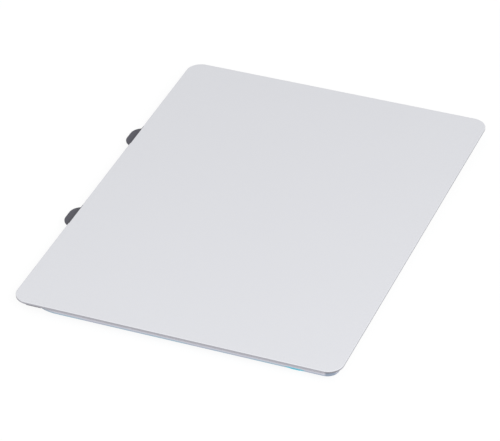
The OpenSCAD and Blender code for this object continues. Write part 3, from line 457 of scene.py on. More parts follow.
def fillet(width, reach, rise, steps=5):
    """A concave wedge of solder against a wall at y = 0, drawn across its width: out to its reach,
    z = rise (1 - sqrt(1 - (1 - t)^2))."""
    t = np.linspace(0, 1, steps)
    curve = np.stack([reach * t, rise * (1 - np.sqrt(1 - (1 - t) ** 2))], axis=1)
    section = np.vstack([[0, 0], curve[::-1]])
    return capped(np.stack([np.insert(section, 0, x, axis=1) for x in (-width / 2, width / 2)]))


def evenly(count, pitch):
    """Places a pitch apart, spread to both sides of 0."""
    return (np.arange(count) - (count - 1) / 2) * pitch


def spread(count):
    """Places spread evenly along one of the frame's windows, clear of its ends."""
    run = WINDOW_OUTER - WINDOW_INNER - 2 * WINDOW_MARGIN
    return WINDOW_INNER + WINDOW_MARGIN + run * (np.arange(count) + 0.5) / count


def at_ends(sites, reach):
    """The places of both ends of pieces at x, y and an angle, each turned so that its X points outwards."""
    x, y, turn = np.asarray(sites, float).T
    both = np.concatenate([turn, turn + 180])
    way = np.radians(both)
    return np.stack([np.tile(x, 2) + reach * np.cos(way), np.tile(y, 2) + reach * np.sin(way), both], axis=1)


def chip_body(low, high):
    """A moulded body: its wall leans in from a rib at the parting line, and a round dent marks a corner."""
    base, top = UNDER - high[2], UNDER - low[2]
    rib_low, rib_high = (base + top) / 2 - PARTING_HALF, (base + top) / 2 + PARTING_HALF
    wall = carry(around(low, high, 0.2, 4), [
        (0.06, base), (PARTING_OUT, rib_low), (0, rib_low), (0, rib_high), (PARTING_OUT, rib_high),
        (0.08, top - 0.05), (0.13, top),
    ])
    size = min((high - low)[:2])
    inset = 0.1 * size + 0.25
    dent = circle(low[0] + inset, high[1] - inset, 0.06 * size + 0.05, 20)
    return slab([wall], [carry(dent, swell(0.08, -0.05, top))])


def latch_bar(low, high, contacts):
    """A latch's section in Y and Z carried along X, drawn in at a groove over each contact. A pin runs
    through it and stands out at both ends."""
    section = join(
        arc(PIVOT_Y, PIVOT_Z, LATCH_HALF, -90, 90, 12),
        arc(low[1] + 0.1, PIVOT_Z + LATCH_HALF - 0.1, 0.1, 90, 180, 5),
        arc(low[1] + 0.16, PIVOT_Z - LATCH_HALF + 0.16, 0.16, 180, 270, 6),
    )
    x0, x1 = low[0] + PIN_LONG, high[0] - PIN_LONG
    inset, along = np.array(LATCH_GROOVE).T
    along = (x0 + x1) / 2 + evenly(contacts, CONTACT_PITCH)[:, None] + along
    grooves = np.stack(np.broadcast_arrays(inset, along), axis=-1).reshape(-1, 2)
    bar = capped(carry(section, np.vstack([
        [(0.05, x0), (0, x0 + 0.05)], grooves, [(0, x1 - 0.05), (0.05, x1)],
    ])))
    pin = turned([
        (PIN_RADIUS - 0.04, low[0]), (PIN_RADIUS, low[0] + 0.04),
        (PIN_RADIUS, high[0] - 0.04), (PIN_RADIUS - 0.04, high[0]),
    ], 16)
    return gather([(along_x(bar[0]), bar[1]), (along_x(pin[0]) + [0, PIVOT_Y, PIVOT_Z], pin[1])])


def snap_dome(low, high):
    """A cap of a hollow sphere, inside from the top to the rim and then outside: r = R sin a, z = R cos a."""
    rim, rise = high[0], high[2] - low[2]
    bow = (rim ** 2 + rise ** 2) / (2 * rise)
    hollow, base = bow - DOME_SHEET, bow - rise
    inner = np.linspace(DOME_POLE, math.acos(base / hollow), 12)
    outer = np.linspace(math.acos(base / bow), DOME_POLE, 12)
    r = np.concatenate([hollow * np.sin(inner), bow * np.sin(outer)])
    z = np.concatenate([hollow * np.cos(inner), bow * np.cos(outer)]) - base
    return hung(turned(np.stack([r, z], axis=1), 40), high[2])


def add_piece(name, part, finish, body=None, replaces=(), sharp=30):
    """Makes a mesh object at the origin from a part in millimetres. Says what it rides on and stands for."""
    verts, groups = part
    mesh = bpy.data.meshes.new(name)
    mesh.from_pydata((verts * MM).tolist(), [], [f for g in groups for f in g.tolist()])
    mesh.polygons.foreach_set("use_smooth", np.ones(len(mesh.polygons), bool))
    mesh.set_sharp_from_angle(angle=math.radians(sharp))
    mesh.materials.append(finish)
    mesh.validate()
    obj = bpy.data.objects.new(name, mesh)
    bpy.context.scene.collection.objects.link(obj)
    if body:
        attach(obj, body)
    if replaces:
        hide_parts(*replaces)
    return obj


def add_under(name, part, finish, replaces=(), sharp=30):
    """Makes a piece of the board that was drawn upright on Z = 0 and hangs from the board's lower face."""
    return add_piece(name, hung(part, UNDER), finish, "pad", replaces, sharp)


def dress(finish, *nodes):
    """Gives CAD nodes whose shape is right a better material."""
    for node in nodes:
        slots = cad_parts[node].data.materials
        slots.clear()
        slots.append(finish)


# Materials

class Value:
    """A shader socket in an expression: arithmetic on it adds Math nodes."""

    def __init__(self, finish, socket):
        self.finish = finish
        self.socket = socket

    def math(self, operation, *operands):
        return self.finish.node("ShaderNodeMath", {"operation": operation}, dict(enumerate(operands)))

    def __add__(self, other):
        return self.math("ADD", self, other)

    def __radd__(self, other):
        return self.math("ADD", other, self)

    def __sub__(self, other):
        return self.math("SUBTRACT", self, other)

    def __rsub__(self, other):
        return self.math("SUBTRACT", other, self)

    def __mul__(self, other):
        return self.math("MULTIPLY", self, other)

    def __rmul__(self, other):
        return self.math("MULTIPLY", other, self)

    def __abs__(self):
        return self.math("ABSOLUTE", self)

    def ramp(self, low, high):
        """0 below low, 1 above high and a smooth step between."""
        return self.finish.node(
            "ShaderNodeMapRange",
            {"interpolation_type": "SMOOTHSTEP"},
            {"Value": self, "From Min": low, "From Max": high},
        )


class Nodes:
    """A node tree being written."""

    def __init__(self, owner):
        owner.use_nodes = True
        self.tree = owner.node_tree

    def node(self, kind, settings=None, sockets=None, output=0):
        """Adds a node: its settings first, then the values or links of its sockets. Returns one output."""
        made = self.tree.nodes.new(kind)
        for key, value in (settings or {}).items():
            setattr(made, key, value)
        for key, value in (sockets or {}).items():
            self.feed(made.inputs[key], value)
        return Value(self, made.outputs[output]) if output is not None else made

    def feed(self, socket, value):
        if isinstance(value, Value):
            self.tree.links.new(value.socket, socket)
        elif socket.type == "RGBA":
            socket.default_value = (*value[:3], 1.0)
        else:
            socket.default_value = value

    def axis(self, name):
        """One object coordinate, in millimetres."""
        at = self.node("ShaderNodeTexCoord", output="Object")
        return self.node("ShaderNodeSeparateXYZ", None, {0: at}, name) * (1 / MM)


class Finish(Nodes):
    """A node material being written: values are expressions, and surface() feeds them to the shader."""

    def __init__(self, name, constants=None):
        self.material = bpy.data.materials.new(name)
        super().__init__(self.material)
        self.shader = self.tree.nodes["Principled BSDF"]
        self.surface(constants or {})

    def surface(self, sockets):
        for key, value in sockets.items():
            self.feed(self.shader.inputs[key], value)
        return self.material

    def place(self, stretch=(1, 1, 1), turn=0.0):
        """Object coordinates, stretched and turned about Z."""
        at = self.node("ShaderNodeTexCoord", output="Object")
        way = (0, 0, math.radians(turn))
        return self.node("ShaderNodeMapping", None, {"Vector": at, "Scale": stretch, "Rotation": way})

    def facing(self, name):
        """One part of the surface's own direction."""
        normal = self.node("ShaderNodeNewGeometry", output="Normal")
        return self.node("ShaderNodeSeparateXYZ", None, {0: normal}, name)

    def rear_corner_shade_mask(self):
        """1 on the upright side of a round rear corner, 0 where a side faces along X or Y: where painted
        shade goes.
        """
        return abs(self.facing("X")).ramp(0.3, 0.65) * self.facing("Y").ramp(0.08, 0.28)

    def front_corner_highlight_mask(self):
        """1 on the part of a round front corner that turns towards X, 0 on straight sides: where a painted
        highlight goes.
        """
        return abs(self.facing("X")).ramp(0.5, 0.8) * (0 - self.facing("Y")).ramp(0.02, 0.3)

    def noise(self, per_mm, detail=2.0, stretch=(1, 1, 1), turn=0.0):
        """Cloudy noise from 0 to 1 with that many lumps in a millimetre."""
        return self.node(
            "ShaderNodeTexNoise",
            None,
            {"Vector": self.place(stretch, turn), "Scale": per_mm / MM, "Detail": detail},
        )

    def cells(self, per_mm, output="Distance"):
        """Distance to the nearest of scattered points, or a grey of each point's cell."""
        return self.node(
            "ShaderNodeTexVoronoi", None, {"Vector": self.place(), "Scale": per_mm / MM}, output
        )

    def blend(self, share, a, b):
        """Colour a where share is 0 and b where it is 1."""
        return self.node("ShaderNodeMix", {"data_type": "RGBA"}, {0: share, 6: a, 7: b}, 2)

    def bump(self, height, depth_mm):
        """A relief of that depth in millimetres."""
        return self.node(
            "ShaderNodeBump", None, {"Strength": 1.0, "Distance": depth_mm * MM, "Height": height}, "Normal"
        )

    def worn(self):
        """1 on chamfers and round edges, which lean, and 0 on level and upright faces."""
        lean = abs(self.facing("Z"))
        return lean.ramp(0.2, 0.45) * (1 - lean.ramp(0.85, 0.97))


def shade(colour, factor):
    """A colour made lighter or darker."""
    return tuple(min(1.0, c * factor) for c in colour[:3])


def satin_glass(look):
    """Etched glass over a silver ink: a fine even grain on the face, a ground edge that is darker, with
    painted shade round the rear corners that deepens towards its lower side and a painted highlight round the
    front corners, and in front a clear rim through which the tabs show."""
    f = Finish("satin_glass", {"IOR": 1.5})
    height, top = f.axis("Z"), GLASS_HIGH[2]
    side = 1 - height.ramp(top - 0.17, top - 0.05)
    cloud = f.noise(0.06, 3)
    grain = f.noise(9.0, 1)
    face = f.blend(cloud, shade(look.face, 0.992), shade(look.face, 1.008))
    face = f.blend(grain * 0.35, face, shade(look.face, 1.03))
    low = height.ramp(GLASS_LOW[2], GLASS_LOW[2] + 0.25)
    edge = f.blend(low, shade(look.edge, 1.12), look.edge)
    edge = f.blend(f.noise(1.4, 2) * 0.3, edge, shade(look.edge, 1.2))
    # Painted shade: the edge is drawn darker round the rear corners, most towards its lower side; painted
    # highlight: it is drawn lighter round the front corners
    under = 1 - height.ramp(top - 0.42, top - 0.12)
    edge = f.blend(f.rear_corner_shade_mask() * under, edge, shade(look.edge, REAR_PAINTED_SHADE))
    edge = f.blend(f.front_corner_highlight_mask(), edge, shade(look.edge, FRONT_PAINTED_HIGHLIGHT))
    from_tab = abs(abs(f.axis("X")) - TAB_MIDDLE)
    from_rim = f.axis("Y") - GLASS_LOW[1]
    clear = 1 - from_rim.ramp(CLEAR_RIM - 0.04, CLEAR_RIM + 0.04)
    tab = (1 - from_tab.ramp(TAB_HALF - 0.3, TAB_HALF)) * clear
    return f.surface({
        "Base Color": f.blend(tab, f.blend(side, face, edge), look.dark),
        "Roughness": look.roughness + 0.06 * f.noise(0.12, 3) - 0.1 * side,
        "Normal": f.bump(grain, 0.002),
    })


def clear_film():
    """Milky adhesive film with faint trapped bubbles."""
    f = Finish("adhesive_film", {"Roughness": 0.45})
    bubble = 1 - f.cells(2.2).ramp(0.05, 0.16)
    tone = f.blend(f.noise(0.5), (0.74, 0.75, 0.78), (0.82, 0.83, 0.85))
    return f.surface({"Base Color": f.blend(bubble * 0.4, tone, (0.9, 0.91, 0.93))})


def board_finish(look):
    """Solder mask on both faces. On the cut edge, pale laminate plies above a bluer lower rim, an inked mark,
    and painted shade, a darker colour, round the rear corners."""
    f = Finish("circuit_board")
    height = f.axis("Z")
    edge = 1 - abs(f.facing("Z")).ramp(0.4, 0.6)
    weave = f.noise(1.1, 2, (1, 0.12, 1)) * 0.5 + f.noise(1.1, 2, (0.12, 1, 1)) * 0.5
    mask = f.blend(weave, shade(look.mask, 0.86), shade(look.mask, 1.16))
    ply = f.noise(3.0, 2, (0.12, 0.12, 3.2))
    pale = f.blend(ply, shade(look.laminate, 0.94), shade(look.laminate, 1.06))
    spots = f.noise(0.16, 2).ramp(0.42, 0.66)
    rim = f.blend(spots, look.rim, look.rim_bright)
    lower = 1 - height.ramp(UNDER + 0.12, UNDER + 0.5)
    along = abs(f.axis("Y") - MARK_Y)
    inked = lower * (1 - along.ramp(MARK_HALF * 0.5, MARK_HALF)) * f.axis("X").ramp(0, 1)
    cut = f.blend(inked, f.blend(lower, pale, rim), look.mark)
    # Painted shade: the cut edge takes the darker corner colour round the rear corners
    cut = f.blend(f.rear_corner_shade_mask(), cut, look.corner)
    return f.surface({
        "Base Color": f.blend(edge, mask, cut),
        "Roughness": 0.34 + 0.3 * edge + 0.08 * weave,
        "Normal": f.bump(weave + 0.6 * edge * ply, 0.006),
    })


def painted_steel(look):
    """Dark powder-fine paint on steel sheet, with a little wear towards bare metal on its edges."""
    f = Finish("dark_steel")
    grain = f.noise(7.0, 3)
    cloud = f.noise(0.25, 3)
    tone = f.blend(cloud, shade(look.dark, 0.93), shade(look.dark, 1.07))
    tone = f.blend(grain.ramp(0.56, 0.8) * 0.25, tone, shade(look.dark, 1.6))
    worn = f.worn() * f.noise(0.8, 3).ramp(0.45, 0.7)
    return f.surface({
        "Base Color": f.blend(worn * 0.5, tone, shade(look.dark, 2.2)),
        "Roughness": 0.5 + 0.12 * cloud - 0.1 * worn,
        "Normal": f.bump(grain, 0.004),
    })


def flat_ink(name, colour, roughness):
    """Printed ink or mask: thin, slightly uneven, with a soft gloss."""
    f = Finish(name)
    cloud = f.noise(2.0, 3)
    return f.surface({
        "Base Color": f.blend(cloud, shade(colour, 0.88), shade(colour, 1.1)),
        "Roughness": roughness + 0.1 * (cloud - 0.5),
        "Normal": f.bump(f.noise(8.0, 2), 0.003),
    })


def metal(name, colour, roughness, run=None, grain=4.0, relief=0.003, cloudy=0.12):
    """Bare metal: run gives the rolling or brushing direction in degrees, and none leaves an even grain."""
    f = Finish(name, {"Metallic": 1.0})
    lines = f.noise(grain, 3, (0.03, 1, 1), -run) if run is not None else f.noise(grain, 3)
    cloud = f.noise(0.3, 3)
    tone = f.blend(cloud, shade(colour, 1 - cloudy), shade(colour, 1 + cloudy))
    tone = f.blend(lines.ramp(0.35, 0.75) * 0.35, tone, shade(colour, 1.15))
    worn = f.worn()
    return f.surface({
        "Base Color": f.blend(worn * 0.6, tone, shade(colour, 1.35)),
        "Roughness": roughness + 0.16 * (lines - 0.5) + 0.12 * (cloud - 0.5) - 0.1 * worn,
        "Normal": f.bump(lines, relief),
    })


def bright_tin(look):
    """Tin on leads, terminals and metal ends, made once and shared."""
    return bpy.data.materials.get("bright_tin") or metal("bright_tin", look.tin, 0.28, grain=5.0)


def moulded(name, colour, roughness, grain=9.0, relief=0.004, fleck=None):
    """Plastic, epoxy, ceramic or rubber: a fine even grain, a soft cloud, and flecks where it has any."""
    f = Finish(name)
    fine = f.noise(grain, 3)
    cloud = f.noise(0.7, 2)
    tone = f.blend(cloud, shade(colour, 0.9), shade(colour, 1.1))
    if fleck:
        tone = f.blend((1 - f.cells(6.0).ramp(0.1, 0.24)) * 0.5, tone, fleck)
    return f.surface({
        "Base Color": tone,
        "Roughness": roughness + 0.12 * (fine - 0.5),
        "Normal": f.bump(fine, relief),
    })


def tinned_sheet(name, colour):
    """Tinned sheet with the frosty patches of a hot-dipped coat, each patch its own grey."""
    f = Finish(name, {"Metallic": 1.0})
    patch = f.cells(1.1, "Color")
    fine = f.noise(6.0, 3)
    grey = f.node("ShaderNodeSeparateColor", None, {0: patch})
    tone = f.blend(grey, shade(colour, 0.8), shade(colour, 0.98))
    worn = f.worn()
    return f.surface({
        "Base Color": f.blend(worn * 0.6, tone, shade(colour, 1.4)),
        "Roughness": 0.3 + 0.16 * grey + 0.1 * (fine - 0.5),
        "Normal": f.bump(fine, 0.003),
    })


def glazed(name, glaze, ceramic, level):
    """A white ceramic chip with a dark glaze below a level, counted in Z."""
    f = Finish(name)
    cloud = f.noise(3.0, 3)
    body = f.blend(cloud, shade(ceramic, 0.92), shade(ceramic, 1.05))
    coat = f.blend(cloud, shade(glaze, 0.8), shade(glaze, 1.4))
    coated = 1 - f.axis("Z").ramp(level - 0.01, level + 0.02)
    return f.surface({
        "Base Color": f.blend(coated, body, coat),
        "Roughness": 0.6 - 0.32 * coated + 0.1 * (cloud - 0.5),
        "Normal": f.bump(f.noise(7.0, 2), 0.004),
    })


# Settings a user would change

def colour_setting(name, text, default):
    return bpy.props.FloatVectorProperty(
        name=name, description=text, subtype="COLOR", size=3, min=0.0, max=1.0, default=default
    )


def length_setting(name, text, default_mm):
    return bpy.props.FloatProperty(
        name=name, description=text, subtype="DISTANCE", unit="LENGTH", min=0.0, default=default_mm * MM
    )


def number_setting(name, text, default, subtype="NONE", unit="NONE"):
    return bpy.props.FloatProperty(
        name=name, description=text, subtype=subtype, unit=unit, min=0.0, default=default
    )


class PlateLook(bpy.types.PropertyGroup):
    """The touch plate and the dark strip under its front edge."""

    face: colour_setting("Face", "Colour of the satin face", (0.716, 0.723, 0.758))
    edge: colour_setting("Edge", "Colour of the ground glass edge", (0.385, 0.38, 0.42))
    dark: colour_setting("Stop plate", "Colour of the painted stop plate", (0.069, 0.068, 0.086))
    roughness: number_setting("Roughness", "Roughness of the satin face", 0.42, "FACTOR")
    arris: length_setting("Arris", "Radius of the glass plate's rounded edges", 0.1)
    burr: length_setting("Sheet edge", "Chamfer left by punching on sheet metal", 0.03)


class BoardLook(bpy.types.PropertyGroup):
    """The sensor board and what is printed on it."""

    mask: colour_setting("Solder mask", "Colour of the solder mask", (0.020, 0.085, 0.190))
    copper: colour_setting("Traces", "Colour of the mask over copper", (0.045, 0.190, 0.350))
    laminate: colour_setting("Laminate", "Colour of the board's cut edge", (0.58, 0.575, 0.64))
    rim: colour_setting("Lower rim", "Colour of the cut edge next to the lower face", (0.42, 0.445, 0.54))
    rim_bright: colour_setting("Bright rim", "Colour of the palest spots on that rim", (0.33, 0.47, 0.57))
    # The corner colour is painted shade on the cut edge round the rear corners
    corner: colour_setting("Corners", "Colour of the cut edge round the rear corners", (0.245, 0.295, 0.375))
    mark: colour_setting("Edge mark", "Colour of the tape and its mark on the cut edge", (0.07, 0.50, 0.64))
    gold: colour_setting("Gold", "Colour of plated pads", (0.80, 0.58, 0.26))
    ink: colour_setting("Legend ink", "Colour of the outlines printed round the pieces", (0.72, 0.73, 0.72))
    trace: length_setting("Trace width", "Width of the conductors", 0.12)
    foil: length_setting("Trace height", "Height of the conductors", 0.02)


class SteelLook(bpy.types.PropertyGroup):
    """The pressed frame, the spring hinge and their fasteners."""

    sheet: colour_setting("Frame", "Colour of the pressed frame", (0.46, 0.47, 0.49))
    spring: colour_setting("Spring leaves", "Colour of the spring steel", (0.42, 0.41, 0.395))
    block: colour_setting("Blocks", "Colour of the hinge blocks", (0.60, 0.61, 0.63))
    plated: colour_setting("Fasteners", "Colour of nuts, rivets and collar", (0.60, 0.60, 0.60))
    rubber: colour_setting("Rubber", "Colour of the down stops", (0.022, 0.022, 0.023))


class PartsLook(bpy.types.PropertyGroup):
    """The pieces soldered under the board."""

    epoxy: colour_setting("Chips", "Colour of chip bodies", (0.024, 0.024, 0.027))
    ivory: colour_setting("Sockets", "Colour of the cable sockets", (0.62, 0.57, 0.46))
    black: colour_setting("Black plastic", "Colour of latches and switch base", (0.022, 0.021, 0.021))
    grey: colour_setting("Plunger", "Colour of the switch plunger", (0.25, 0.25, 0.26))
    ferrite: colour_setting("Ferrite", "Colour of the inductor", (0.055, 0.055, 0.06))
    ceramic: colour_setting("Capacitors", "Colour of capacitor bodies", (0.36, 0.25, 0.15))
    alumina: colour_setting("Resistors", "Colour of the resistors' white ceramic", (0.70, 0.70, 0.68))
    glaze: colour_setting("Glaze", "Colour of the resistors' glaze", (0.02, 0.02, 0.024))
    tin: colour_setting("Tin", "Colour of tinned metal and solder", (0.56, 0.57, 0.59))


class StageLook(bpy.types.PropertyGroup):
    """Camera, light and floor."""

    place: bpy.props.FloatVectorProperty(
        name="Camera place", description="Where the camera stands", subtype="XYZ", unit="LENGTH", size=3,
        default=(0.519196, 0.203446, 0.385297),
    )
    lens: number_setting("Lens", "Focal length in millimetres on a 36 mm sensor", 213.925)
    ambient: number_setting("Ambient", "Strength of the even light all round", 0.55)
    key: number_setting("Key", "Power of the key light", 5.76, unit="POWER")
    fill: number_setting("Fill", "Power of the fill light", 0.85, unit="POWER")
    shadow: number_setting("Shadow", "How much of the object's shadow the floor shows", 0.1, "FACTOR")


LOOKS = {
    "trackpad_plate": PlateLook,
    "trackpad_board": BoardLook,
    "trackpad_steel": SteelLook,
    "trackpad_parts": PartsLook,
    "trackpad_stage": StageLook,
}


class TRACKPAD_OT_touch_plate(bpy.types.Operator):
    """Make the glass plate and the dark stop plate under its front edge, and finish their adhesive films"""

    bl_idname = "trackpad.touch_plate"
    bl_label = "Touch plate"

    def execute(self, context):
        look = context.scene.trackpad_plate
        edge = round_edge(GLASS_LOW[2], GLASS_HIGH[2], look.arris / MM)
        plate = capped(carry(around(GLASS_LOW, GLASS_HIGH, GLASS_CORNER, 32), edge))
        add_piece("touch_plate", plate, satin_glass(look), "pad", ["touch_glass"], 60)
        dress(clear_film(), "glass_adhesive", "stop_plate_film")
        wall = chamfer(STOP_LOW[2], STOP_HIGH[2], look.burr / MM)
        stop = slab([carry(self.strip_outline(), wall)])
        add_piece("stop_plate", stop, painted_steel(look), "pad", ["front_stop_plate"])
        return {"FINISHED"}

    def tab(self, x):
        """A tab's two corner arcs, from where the first leaves the strip to where the second meets it."""
        y, reach = STOP_LOW[1] + TAB_CORNER, TAB_HALF - TAB_CORNER
        lean = math.degrees(math.asin((y - STRIP_FRONT) / TAB_CORNER))
        return [
            arc(x - reach, y, TAB_CORNER, 180 + lean, 270, 16),
            arc(x + reach, y, TAB_CORNER, 270, 360 - lean, 16),
        ]

    def strip_outline(self):
        """The strip with its front corners cut and eased, its two tabs, and a short ear at each rear end."""
        left, right = STOP_LOW[0] + STOP_TRIM, STOP_HIGH[0] - STOP_TRIM
        front, rear = STRIP_FRONT, STOP_HIGH[1]
        near, far = STOP_EASE, STOP_CUT + (math.sqrt(2) - 1) * STOP_EASE
        ear = rear + EAR_LONG - EAR_CORNER
        return join(
            arc(left + near, front + far, STOP_EASE, 180, 225, 6),
            arc(left + far, front + near, STOP_EASE, 225, 270, 6),
            *self.tab(-TAB_MIDDLE),
            *self.tab(TAB_MIDDLE),
            arc(right - far, front + near, STOP_EASE, 270, 315, 6),
            arc(right - near, front + far, STOP_EASE, 315, 360, 6),
            arc(right - EAR_CORNER, ear, EAR_CORNER, 0, 90, 4),
            arc(right - EAR_WIDE + EAR_CORNER, ear, EAR_CORNER, 90, 180, 4),
            arc(right - EAR_WIDE, rear, 0, 135, 135, 1),
            arc(left + EAR_WIDE, rear, 0, 45, 45, 1),
            arc(left + EAR_WIDE - EAR_CORNER, ear, EAR_CORNER, 0, 90, 4),
            arc(left + EAR_CORNER, ear, EAR_CORNER, 90, 180, 4),
        )


class TRACKPAD_OT_board(bpy.types.Operator):
    """Finish the sensor board, and lay its traces, vias, pads, printed outlines and strip of tape"""

    bl_idname = "trackpad.board"
    bl_label = "Sensor board"

    def execute(self, context):
        look = context.scene.trackpad_board
        width, foil = look.trace / MM, look.foil / MM
        dress(board_finish(look), "sensor_board")
        narrow, wide, vias = self.routes()
        traces = [ribbon(route, width, foil) for route in narrow]
        traces += [ribbon(route, own_width, foil) for route, own_width in wide]
        copper = flat_ink("mask_over_copper", look.copper, 0.34)
        add_under("board_traces", gather(traces), copper)
        gold = metal("gold", look.gold, 0.25, grain=6.0)
        ring = turned(np.array(VIA_RING) * [1, foil], 10)
        add_under("via_rings", repeated(ring, vias), gold)
        add_under("test_points", self.pads(foil), gold)
        marks = [ribbon(route, INK_WIDE, foil * INK_CROWN) for route in self.outlines()]
        add_under("outline_ink", gather(marks), flat_ink("legend_ink", look.ink, 0.6))
        dress(gold, "host_socket_contacts", "keyboard_socket_contacts")
        edge = BOARD_HIGH[0] - foil
        tape = rounded(edge - TAPE_LONG, edge, MARK_Y - TAPE_HALF, MARK_Y + TAPE_HALF, TAPE_CORNER, 6)
        tape = capped(carry(tape, chamfer(UNDER - TAPE_THICK, UNDER, TAPE_EDGE)))
        add_piece("edge_tape", tape, flat_ink("blue_tape", look.mark, 0.4), "pad")
        return {"FINISHED"}

    def routes(self):
        """Narrow routes, wide routes with their widths, and the places of vias, all in X and Y."""
        narrow, wide, vias = [], [], []

        def stub(x0, y0, x1, y1):
            narrow.append([(x0, y0), (x1, y1)])
            vias.append((x1, y1, 0))

        def feed(x0, y0, x1, y1, width=FEED_WIDE):
            wide.append(([(x0, y0), (x1, y1)], width))

        left, front = CONTROLLER_LOW[:2]
        right, rear = CONTROLLER_HIGH[:2] + PAD_GAP
        tail_y = TAIL_FRONT + FOOT_COVER
        host_tails = HOST_X + evenly(HOST_CONTACTS, CONTACT_PITCH)
        keys_tails = KEYS_X + evenly(KEYS_CONTACTS, CONTACT_PITCH)
        for k, pad_x in enumerate(CONTROLLER_X - evenly(BUNDLE, CONTROLLER_PITCH)):
            run_y, turn_x = BUNDLE_RUN_Y + BUNDLE_STEP * k, BUNDLE_TURN_X + BUNDLE_STEP * k
            low_y, tail_x = BUNDLE_LOW_Y + BUNDLE_LOW_STEP * k, host_tails[BUNDLE - 1 - k]
            narrow.append(eased([
                (pad_x, rear), (pad_x, run_y), (turn_x, run_y), (turn_x, low_y), (tail_x, low_y),
                (tail_x, tail_y),
            ], BUNDLE_CUT))
        for k, x in [*enumerate(host_tails)][BUNDLE:] + [*enumerate(keys_tails)]:
            stub(x, tail_y, x, STAGGER_Y - STAGGER * (k % 3))
        for y in CONTROLLER_Y + evenly(CONTROLLER_LEADS, CONTROLLER_PITCH):
            narrow.append([(right, y), (LID_LOW[0] + FOOT_COVER, y)])
        for k in evenly(ROUND_COUNT, PASSIVE_PITCH):
            x, y = CONTROLLER_X + k, CONTROLLER_Y + k
            feed(left - ROUND_FEED, y, left - PAD_GAP, y)
            feed(x, front - ROUND_FEED, x, front - PAD_GAP)
            stub(left - ROUND_STUB, y, left - ROUND_VIA, y)
            stub(x, front - ROUND_STUB, x, front - ROUND_VIA)

        end = (PASSIVE_LONG - PASSIVE_END) / 2
        high, low = FIELD_ROWS_Y
        between = (high + low) / 2
        for x in -spread(FIELD_COUNT):
            stub(x - end, high, x - end, high + FIELD_REAR)
            stub(x + end, low, x + end, low - FIELD_FRONT)
            narrow.append(eased([
                (x + end, high), (x + end, between), (x - end, between), (x - end, low),
            ], FIELD_CUT))
        for x in spread(RESISTOR_COUNT):
            stub(x, RESISTOR_ROW_Y - end, x, RESISTOR_ROW_Y - end - RESISTOR_STUB)
        row, supply_y, ground_y = FRONT_ROW_Y, FRONT_ROW_Y + SUPPLY_RISE, FRONT_ROW_Y - GROUND_DROP
        for x in spread(FRONT_COUNT):
            stub(x - end, row, x - end, row + FRONT_STUB)
            feed(x + end, row, x + end, row - FRONT_FEED)
        feed(SUPPLY_FROM, ground_y, SUPPLY_TO, ground_y, GROUND_WIDE)
        feed(-SUPPLY_TO, supply_y, -SUPPLY_FROM, supply_y, SUPPLY_WIDE)
        for x in CONTROLLER_X + evenly(BULK_COUNT, BULK_PITCH):
            feed(x, row + BULK_LAP, x, supply_y, SUPPLY_WIDE)
            feed(x, row - BULK_LAP, x, row - BULK_FEED, SUPPLY_WIDE)
            vias += [(x + shift, row - BULK_VIA, 0) for shift in BULK_VIAS_X]

        for side in (-1, 1):
            line = np.array(SWITCH_LINE) * [side, 1]
            narrow.append(eased(line, SWITCH_CUT))
            vias.append((*line[-1], 0))
            for k in range(EDGE_LINES):
                x = side * (EDGE_X + EDGE_STEP * k)
                y0, y1 = EDGE_FRONT + EDGE_SHIFT * k, EDGE_REAR - EDGE_SHIFT * k
                narrow.append([(x, y0), (x, y1)])
                vias += [(x, y0, 0), (x, y1, 0)]
        return narrow, wide, vias

    def pads(self, foil):
        """Round test points, and the row of long ground pads near the rear edge."""
        disc = turned(np.array(TEST_POINT) * [1, foil], 20)
        half, side = GROUND_HALF_LONG, GROUND_HALF_WIDE
        bar = block(-half, half, -side, side, foil * PAD_CROWN, GROUND_EDGE)
        points = [(side * x, y, 0) for side in (-1, 1) for x in TEST_XS for y in TEST_YS]
        points += [(side * x, TEST_ROW_Y, 0) for side in (1, -1) for x in spread(TEST_ROW)]
        ground = [(x, BOARD_HIGH[1] - GROUND_INSET, 0) for x in evenly(GROUND_PADS, GROUND_PITCH)]
        return gather([repeated(disc, points), repeated(bar, ground)])

    def outlines(self):
        """Corner brackets printed round the larger pieces, and a short bar at each one's first corner."""
        brackets = []
        boxes = (
            (CONTROLLER_LOW, CONTROLLER_HIGH, 0.75),
            (LID_LOW, LID_HIGH, 0.4),
            (MEMORY_LOW, MEMORY_HIGH, 0.45),
            (HOST_LOW, HOST_HIGH, 0.85),
            (KEYS_LOW, KEYS_HIGH, 0.85),
            (CHOKE_LOW, CHOKE_HIGH, 0.45),
            (CRYSTAL_LOW, CRYSTAL_HIGH, 0.45),
            (REGULATOR_LOW, REGULATOR_HIGH, 0.35),
        )
        for low, high, gap in boxes:
            (x0, y0), (x1, y1) = low[:2] - gap, high[:2] + gap
            arm = min(BRACKET, (y1 - y0) * BRACKET_SHARE)
            for x, y, across, up in ((x0, y0, 1, 1), (x1, y0, -1, 1), (x1, y1, -1, -1), (x0, y1, 1, -1)):
                brackets.append([(x + across * arm, y), (x, y), (x, y + up * arm)])
            brackets.append([(x0 - BAR_GAP, y1 - arm), (x0 - BAR_GAP, y1)])
        return brackets


